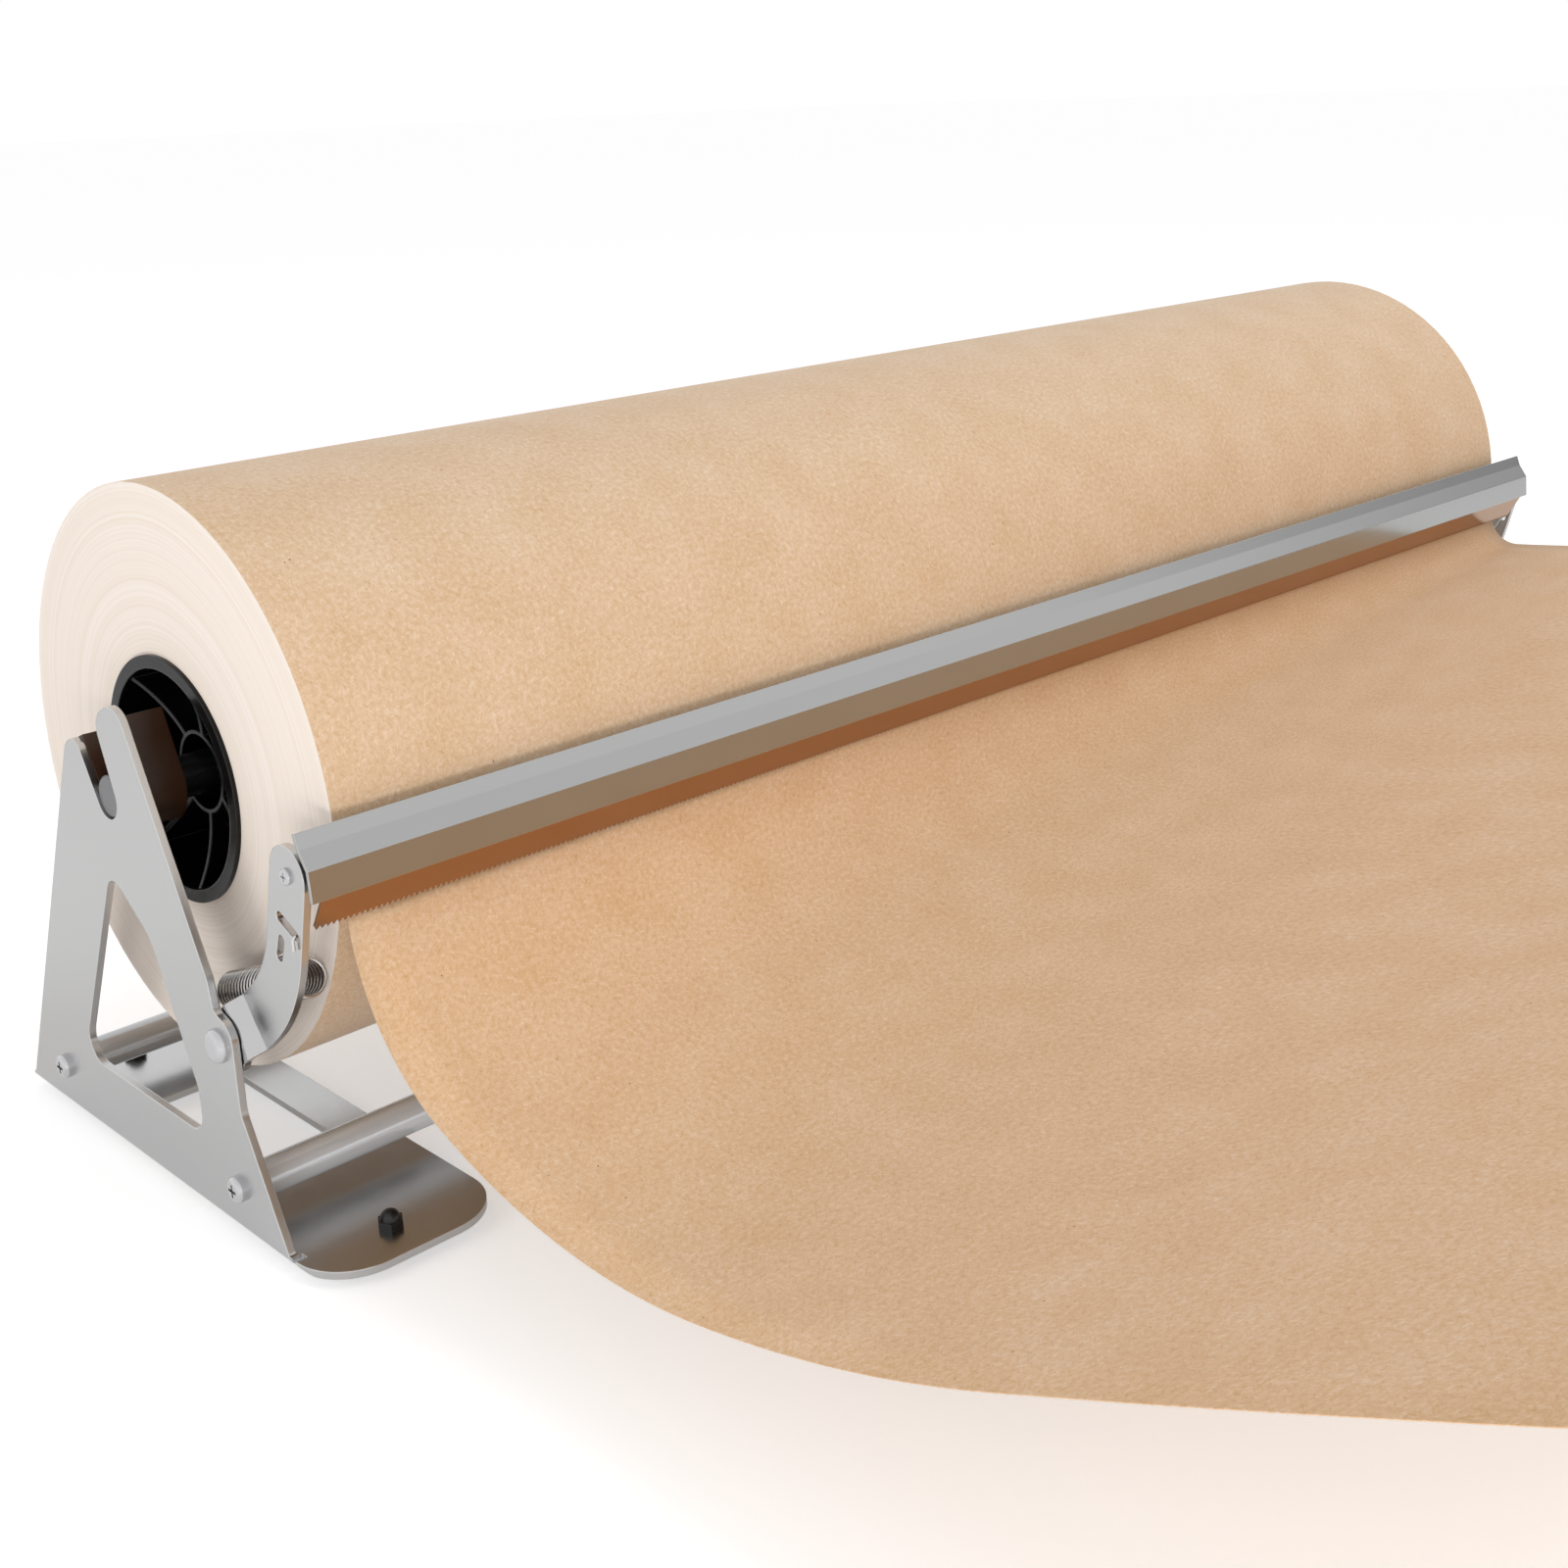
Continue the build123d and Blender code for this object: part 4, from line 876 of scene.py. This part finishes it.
@dataclass
class ArmSpring:
    """Extension spring between a post on the end frame and a slot in the cutter arm.

    Places are those of the left spring, along X, Y and Z from the axle, in millimetres.

    Attributes:
        wire: Radius of the wire.
        coil: Radius of the coil at the middle of the wire.
        turns: Number of turns.
        rear: Rear end of the coil's axis.
        front: Front end of the coil's axis.
        post: Centre of the loop on the post.
        loop: Radius of the loop.
        slot: Where the hook passes the arm.
        arm_inner: Inner face of the arm.
        arm_outer: Outer face of the arm.
        gap: Room between the wire and the arm.
        leg: Length of the leg up to the arm, with its bend.
        bend: Radius of the hook's bends.
        free_end: Length of the hook past its last bend.
        loop_start: Where the loop's open end lies, in degrees above straight back.
        loop_sweep: How far the loop goes round the post, in degrees.
        loop_steps: Steps round the loop.
        turn_steps: Steps round one turn of the coil.
        hold: How far behind and under the slot the spring moves fully with the arm; not used.
    """

    wire: float = 0.7
    coil: float = 7.8
    turns: int = 24
    rear: Place = (-467.1, -51.0, -80.1)
    front: Place = (-466.15, -113.8, -55.0)
    post: Place = (-467.1, -45.0, -84.0)
    loop: float = 3.6
    slot: Spot = (-130.4, -28.3)
    arm_inner: float = -475.6
    arm_outer: float = -479.0
    gap: float = 0.6
    leg: float = 13.7
    bend: float = 1.7
    free_end: float = 4.0
    loop_start: float = -105.0
    loop_sweep: float = 195.0
    loop_steps: int = 12
    turn_steps: int = 24
    hold: float = 6.0

    def route(self) -> list[Vector]:
        """Follow the middle of the wire of the left spring.

        Returns:
            Points from the loop's open end to the hook's tip, in millimetres from the axle.
        """
        rear, front, post = Vector(self.rear), Vector(self.front), Vector(self.post)
        along = (front - rear).normalized()
        side = Vector((1.0, 0.0, 0.0)).cross(along).normalized()
        over = along.cross(side)
        forward, outward = Vector((0.0, -1.0, 0.0)), Vector((-1.0, 0.0, 0.0))
        points = []
        for step in range(self.loop_steps + 1):
            turn = math.radians(self.loop_start + step * self.loop_sweep / self.loop_steps)
            points.append(post + Vector((0.0, math.cos(turn), math.sin(turn))) * self.loop)
        # A quarter turn more ends the coil beside the arm, so that the leg runs up behind it
        steps = self.turn_steps * self.turns + self.turn_steps // 4
        helix = []
        for step in range(steps + 1):
            turn = 2 * math.pi * step / self.turn_steps
            around = side * math.cos(turn) - over * math.sin(turn)
            helix.append(rear.lerp(front, step / steps) + around * self.coil)
        points += self.ease(points[-1], forward, helix[0], helix[1] - helix[0], count=8)
        points += helix
        end = Vector((self.arm_inner + self.gap + self.wire, *self.slot))
        way = (Vector((self.front[0], *self.slot)) - front).normalized()
        start = end - way * self.leg
        points += self.ease(helix[-1], helix[-1] - helix[-2], start, way, count=8)
        points += [start, end - way * self.bend]
        out = Vector((self.arm_outer - self.gap - self.wire, *self.slot))
        across = Vector((self.bend, 0.0, 0.0))
        points += self.ease(points[-1], way, end - across, outward, count=6)
        points += [end - across, out + across]
        tip = out - Vector((0.0, 0.0, self.bend))
        points += self.ease(points[-1], outward, tip, Vector((0.0, 0.0, -1.0)), count=6)
        return points + [tip, tip - Vector((0.0, 0.0, self.free_end))]

    @staticmethod
    def ease(start: Vector, away: Vector, end: Vector, home: Vector, count: int) -> list[Vector]:
        """Join two points with a smooth bend.

        Args:
            start: First point.
            away: Direction at the first point.
            end: Last point.
            home: Direction at the last point.
            count: Number of steps.

        Returns:
            The points between the two ends.
        """
        pull = (end - start).length
        first, last = away.normalized() * pull, home.normalized() * pull
        points = []
        for step in range(1, count):
            part = step / count
            points.append(
                start * (2 * part**3 - 3 * part**2 + 1)
                + first * (part**3 - 2 * part**2 + part)
                + end * (3 * part**2 - 2 * part**3)
                + last * (part**3 - part**2)
            )
        return points

    def crest(self, spot: Vector) -> float:
        """Tell how far a place on the left spring stands out of the shade between the turns, where the
        wire is painted dark.

        Args:
            spot: Place on the wire, in millimetres from the axle.

        Returns:
            1 on the inside and the crest of the turns, on the last turn, the loop and the leg,
            and less between.
        """
        rear, front = Vector(self.rear), Vector(self.front)
        along = (front - rear).normalized()
        run = (spot - rear).dot(along)
        length = (front - rear).length
        # The last turn is open to the light
        if not -self.wire < run < length - length / self.turns:
            return 1.0
        away = (spot - rear - along * run).length
        share = min(max((away - self.coil + self.wire) / (2 * self.wire), 0.0), 1.0)
        return max(share, 1.0 - 2 * share)

    def build(self, side: str, finish: bpy.types.Material) -> None:
        """Build one spring and dress it.

        Args:
            side: "left" or "right".
            finish: Material of the wire.
        """
        flip = -1.0 if side == "right" else 1.0
        curve = bpy.data.curves.new(f"{side}_spring_route", "CURVE")
        curve.dimensions = "3D"
        curve.bevel_depth = self.wire * MM
        curve.bevel_resolution = 2
        curve.use_fill_caps = True
        spline = curve.splines.new("POLY")
        route = [AXLE + Vector((spot.x * flip, spot.y, spot.z)) * MM for spot in self.route()]
        spline.points.add(len(route) - 1)
        for point, spot in zip(spline.points, route):
            point.co = (*spot, 1.0)
        holder = add_object(f"{side}_spring_route", curve)
        depsgraph = bpy.context.evaluated_depsgraph_get()
        mesh = bpy.data.meshes.new_from_object(holder.evaluated_get(depsgraph))
        bpy.data.objects.remove(holder)
        mesh.name = f"{side}_spring_wire"
        mesh.materials.clear()
        mesh.materials.append(finish)
        for face in mesh.polygons:
            face.use_smooth = True
        crest = mesh.uv_layers.new(name="crest")
        for loop in mesh.loops:
            spot = (mesh.vertices[loop.vertex_index].co - AXLE) / MM
            crest.data[loop.index].uv = (0.0, self.crest(Vector((spot.x * flip, spot.y, spot.z))))
        piece = add_object(f"{side}_spring_wire", mesh)
        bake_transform(piece)
        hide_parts(f"{side}_arm_spring")
        LOG.info("built %s", piece.name)


@dataclass(frozen=True)
class Viewpoint:
    """Camera at the photograph's viewing angle.

    Attributes:
        position: Place of the lens seen from the axle, in metres.
        yaw: Turn to the right of straight ahead, in degrees.
        pitch: Downward tilt, in degrees.
        roll: Turn about the line of sight, in degrees.
        lens: Focal length, in millimetres.
        sensor: Width of the frame that the focal length belongs to, in millimetres.
        shift: Vertical shift of the square frame.
        nearest: Distance from which things show, in metres.
    """

    position: Place = (-0.8276, -0.7792, 0.2784)
    yaw: float = 43.27
    pitch: float = 16.52
    roll: float = -2.11
    lens: float = 46.04
    sensor: float = 36.0
    shift: float = -0.0669
    nearest: float = 0.02

    def build(self) -> None:
        """Make the camera and give it to the scene."""
        yaw, pitch, roll = (math.radians(turn) for turn in (self.yaw, self.pitch, self.roll))
        level_reach = math.cos(pitch)
        sight = Vector(
            (math.sin(yaw) * level_reach, math.cos(yaw) * level_reach, -math.sin(pitch))
        )
        level = Vector((math.cos(yaw), -math.sin(yaw), 0.0))
        rise = level.cross(sight)
        right = level * math.cos(roll) + rise * math.sin(roll)
        upward = rise * math.cos(roll) - level * math.sin(roll)
        turned = Matrix((right, upward, -sight)).transposed().to_4x4()
        camera = bpy.data.cameras.new("counter_view")
        camera.sensor_width = self.sensor
        camera.lens = self.lens
        camera.shift_y = self.shift
        camera.clip_start = self.nearest
        holder = add_object("counter_view", camera)
        holder.matrix_world = Matrix.Translation(AXLE + Vector(self.position)) @ turned
        bpy.context.scene.camera = holder
        LOG.info("placed the camera")


@dataclass(frozen=True)
class SoftBox:
    """One rectangular studio lamp.

    Attributes:
        name: Name of the lamp.
        place: Where it hangs, in metres.
        target: What it points at, in metres.
        size: Width and height, in metres.
        power: Power, in watts.
    """

    name: str
    place: Place
    target: Place
    size: Spot
    power: float

    def build(self) -> None:
        """Hang the lamp."""
        lamp = bpy.data.lights.new(self.name, "AREA")
        lamp.shape = "RECTANGLE"
        lamp.size, lamp.size_y = self.size
        lamp.energy = self.power
        holder = add_object(self.name, lamp)
        holder.location = self.place
        # Metal shows the plain white sweep and not the lamp
        holder.visible_glossy = False
        beam = Vector(self.target) - Vector(self.place)
        holder.rotation_euler = beam.to_track_quat("-Z", "Y").to_euler()


@dataclass(frozen=True)
class Studio:
    """White sweep, soft lamps and a pale floor that keeps the shadow.

    Attributes:
        ambient: Strength of the surrounding light.
        ceiling: Strength of the sweep straight overhead, where mirrors see it.
        ceiling_band: Rise of the view, as a sine, from where the sweep dims to where it is dimmest.
        flag: Direction of the grey flag that only mirrors see, beside the object.
        flag_band: Cosine of the angle to the flag at its soft edge and where it is greyest.
        shade: How much of the sweep's light the flag takes away.
        floor: Colour of the floor, sRGB hex.
        floor_half: Half the width of the floor, in metres.
        lift: Light added to the floor where the eye sees it, so that it joins the white behind it.
        mirror_lift: Light added to the floor where metal shows it, so that it is pale there too.
        lamps: The soft boxes.
    """

    ambient: float = 0.58
    ceiling: float = 0.85
    ceiling_band: Spot = (0.3, 0.95)
    flag: Place = (0.98, -0.2, 0.0)
    flag_band: Spot = (0.86, 0.97)
    shade: float = 0.65
    floor: str = "#F4F4F4"
    floor_half: float = 30.0
    lift: float = 0.46
    mirror_lift: float = 0.2
    lamps: tuple[SoftBox, ...] = (
        SoftBox("overhead_box", (0.7, -0.9, 2.3), (0.15, 0.1, 0.2), (1.8, 1.2), 20.0),
        SoftBox("side_box", (-2.3, 0.4, 0.9), (-0.45, 0.27, 0.18), (1.2, 1.2), 8.0),
        SoftBox("low_fill", (-1.35, -0.9, 0.12), (-0.4, 0.25, 0.06), (1.0, 0.2), 7.0),
    )

    @staticmethod
    def seen(tree: bpy.types.NodeTree) -> bpy.types.NodeSocket:
        """Tell rays that the eye, a mirror or clear glass sends from the rays that carry light.

        Args:
            tree: Node tree of the floor or the world.

        Returns:
            A socket that is 1 for seen rays and 0 for the rest.
        """
        path = add_node(tree, "ShaderNodeLightPath")
        seen = path.outputs["Is Camera Ray"]
        for name in ("Is Glossy Ray", "Is Transmission Ray"):
            seen = add_node(
                tree, "ShaderNodeMath", {"operation": "MAXIMUM"}, {0: seen, 1: path.outputs[name]}
            ).outputs[0]
        return seen

    def sky(self) -> None:
        """Surround the scene with even light and a white background."""
        world = bpy.data.worlds.new("white_sweep")
        bpy.context.scene.world = world
        tree = empty_tree(world)
        outward = add_node(tree, "ShaderNodeTexCoord").outputs["Generated"]
        way = add_node(tree, "ShaderNodeSeparateXYZ", links={0: outward})
        low, high = self.ceiling_band
        sweep = add_node(
            tree,
            "ShaderNodeMapRange",
            {"From Min": low, "From Max": high, "To Min": 1.0, "To Max": self.ceiling},
            {"Value": way.outputs[2]},
        )
        aside = add_node(
            tree, "ShaderNodeVectorMath", {"operation": "DOT_PRODUCT", 1: self.flag}, {0: outward}
        )
        rim, middle = self.flag_band
        flagged = add_node(
            tree,
            "ShaderNodeMapRange",
            {"From Min": rim, "From Max": middle, "To Min": 1.0, "To Max": 1.0 - self.shade},
            {"Value": aside.outputs["Value"]},
        )
        shown = add_node(
            tree,
            "ShaderNodeMath",
            {"operation": "MULTIPLY"},
            {0: sweep.outputs[0], 1: flagged.outputs[0]},
        )
        # The eye sees plain white, and mirrors see the sweep with its flag
        path = add_node(tree, "ShaderNodeLightPath")
        eye = add_node(
            tree,
            "ShaderNodeMix",
            {"data_type": "FLOAT", 3: 1.0},
            {0: path.outputs["Is Camera Ray"], 2: shown.outputs[0]},
        )
        strength = add_node(
            tree,
            "ShaderNodeMix",
            {"data_type": "FLOAT", 2: self.ambient},
            {0: self.seen(tree), 3: eye.outputs[0]},
        )
        light = add_node(
            tree,
            "ShaderNodeBackground",
            {"Color": (1.0, 1.0, 1.0, 1.0)},
            {"Strength": strength.outputs[0]},
        )
        add_node(tree, "ShaderNodeOutputWorld", links={"Surface": light.outputs[0]})

    def ground(self) -> None:
        """Lay the floor."""
        material = bpy.data.materials.new("painted_studio_floor")
        tree = empty_tree(material)
        paint = add_node(tree, "ShaderNodeBsdfDiffuse", {"Color": to_linear(self.floor)})
        amount = add_node(
            tree,
            "ShaderNodeMix",
            {"data_type": "FLOAT", 2: self.mirror_lift, 3: self.lift},
            {0: add_node(tree, "ShaderNodeLightPath").outputs["Is Camera Ray"]},
        )
        lift = add_node(
            tree, "ShaderNodeMath", {"operation": "MULTIPLY"}, {0: self.seen(tree), 1: amount.outputs[0]}
        )
        glow = add_node(tree, "ShaderNodeEmission", links={"Strength": lift.outputs[0]})
        both = add_node(
            tree, "ShaderNodeAddShader", links={0: paint.outputs[0], 1: glow.outputs[0]}
        )
        add_node(tree, "ShaderNodeOutputMaterial", links={"Surface": both.outputs[0]})
        mesh = bpy.data.meshes.new("studio_floor")
        shape = bmesh.new()
        bmesh.ops.create_grid(shape, x_segments=1, y_segments=1, size=self.floor_half)
        shape.to_mesh(mesh)
        shape.free()
        mesh.materials.append(material)
        floor = add_object("studio_floor", mesh)

    def build(self) -> None:
        """Set up the whole studio."""
        self.sky()
        self.ground()
        for lamp in self.lamps:
            lamp.build()
        bpy.context.scene.view_settings.view_transform = "Standard"
        LOG.info("lit the studio")


def main() -> None:
    """Build the studio, dress the nodes and add the soft pieces."""
    logging.basicConfig(level=logging.INFO, format="%(message)s")
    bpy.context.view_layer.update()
    Viewpoint().build()
    Studio().build()
    finishes = Finishes()
    for dressing in (
        Dressing(
            finishes.satin_sheet,
            ("left_end_frame", "right_end_frame", "left_cutter_arm", "right_cutter_arm"),
        ),
        Dressing(finishes.folded_bar, ("cutter_bar",)),
        Dressing(finishes.lacquered_bar, ("front_tie_bar", "rear_tie_bar")),
        Dressing(
            finishes.plated_screw,
            (
                "tie_bar_screws", "foot_studs", "cutter_bar_screws", "cutter_bar_nuts",
                "left_pivot_rivet", "right_pivot_rivet", "left_spring_post", "right_spring_post",
            ),
        ),
        Dressing(finishes.axle_steel, ("axle_rod",)),
        Dressing(finishes.blade_steel, ("serrated_blade",)),
        Dressing(finishes.black_moulding, ("left_core_plug", "right_core_plug")),
        Dressing(finishes.saddle_nylon, ("left_axle_saddle", "right_axle_saddle")),
        Dressing(finishes.black_cap, ("foot_cap_nuts",)),
        Dressing(finishes.foot_rubber, ("rubber_feet",)),
        Dressing(finishes.core_board, ("core_tube",)),
        Dressing(finishes.wound_paper, ("paper_roll",)),
    ):
        dressing.dress()
    DrawnSheet().build(finishes.leading_paper, finishes.drawn_paper)
    wire = finishes.spring_wire.material()
    for side in ("left", "right"):
        ArmSpring().build(side, wire)


if __name__ == "__main__":
    main()
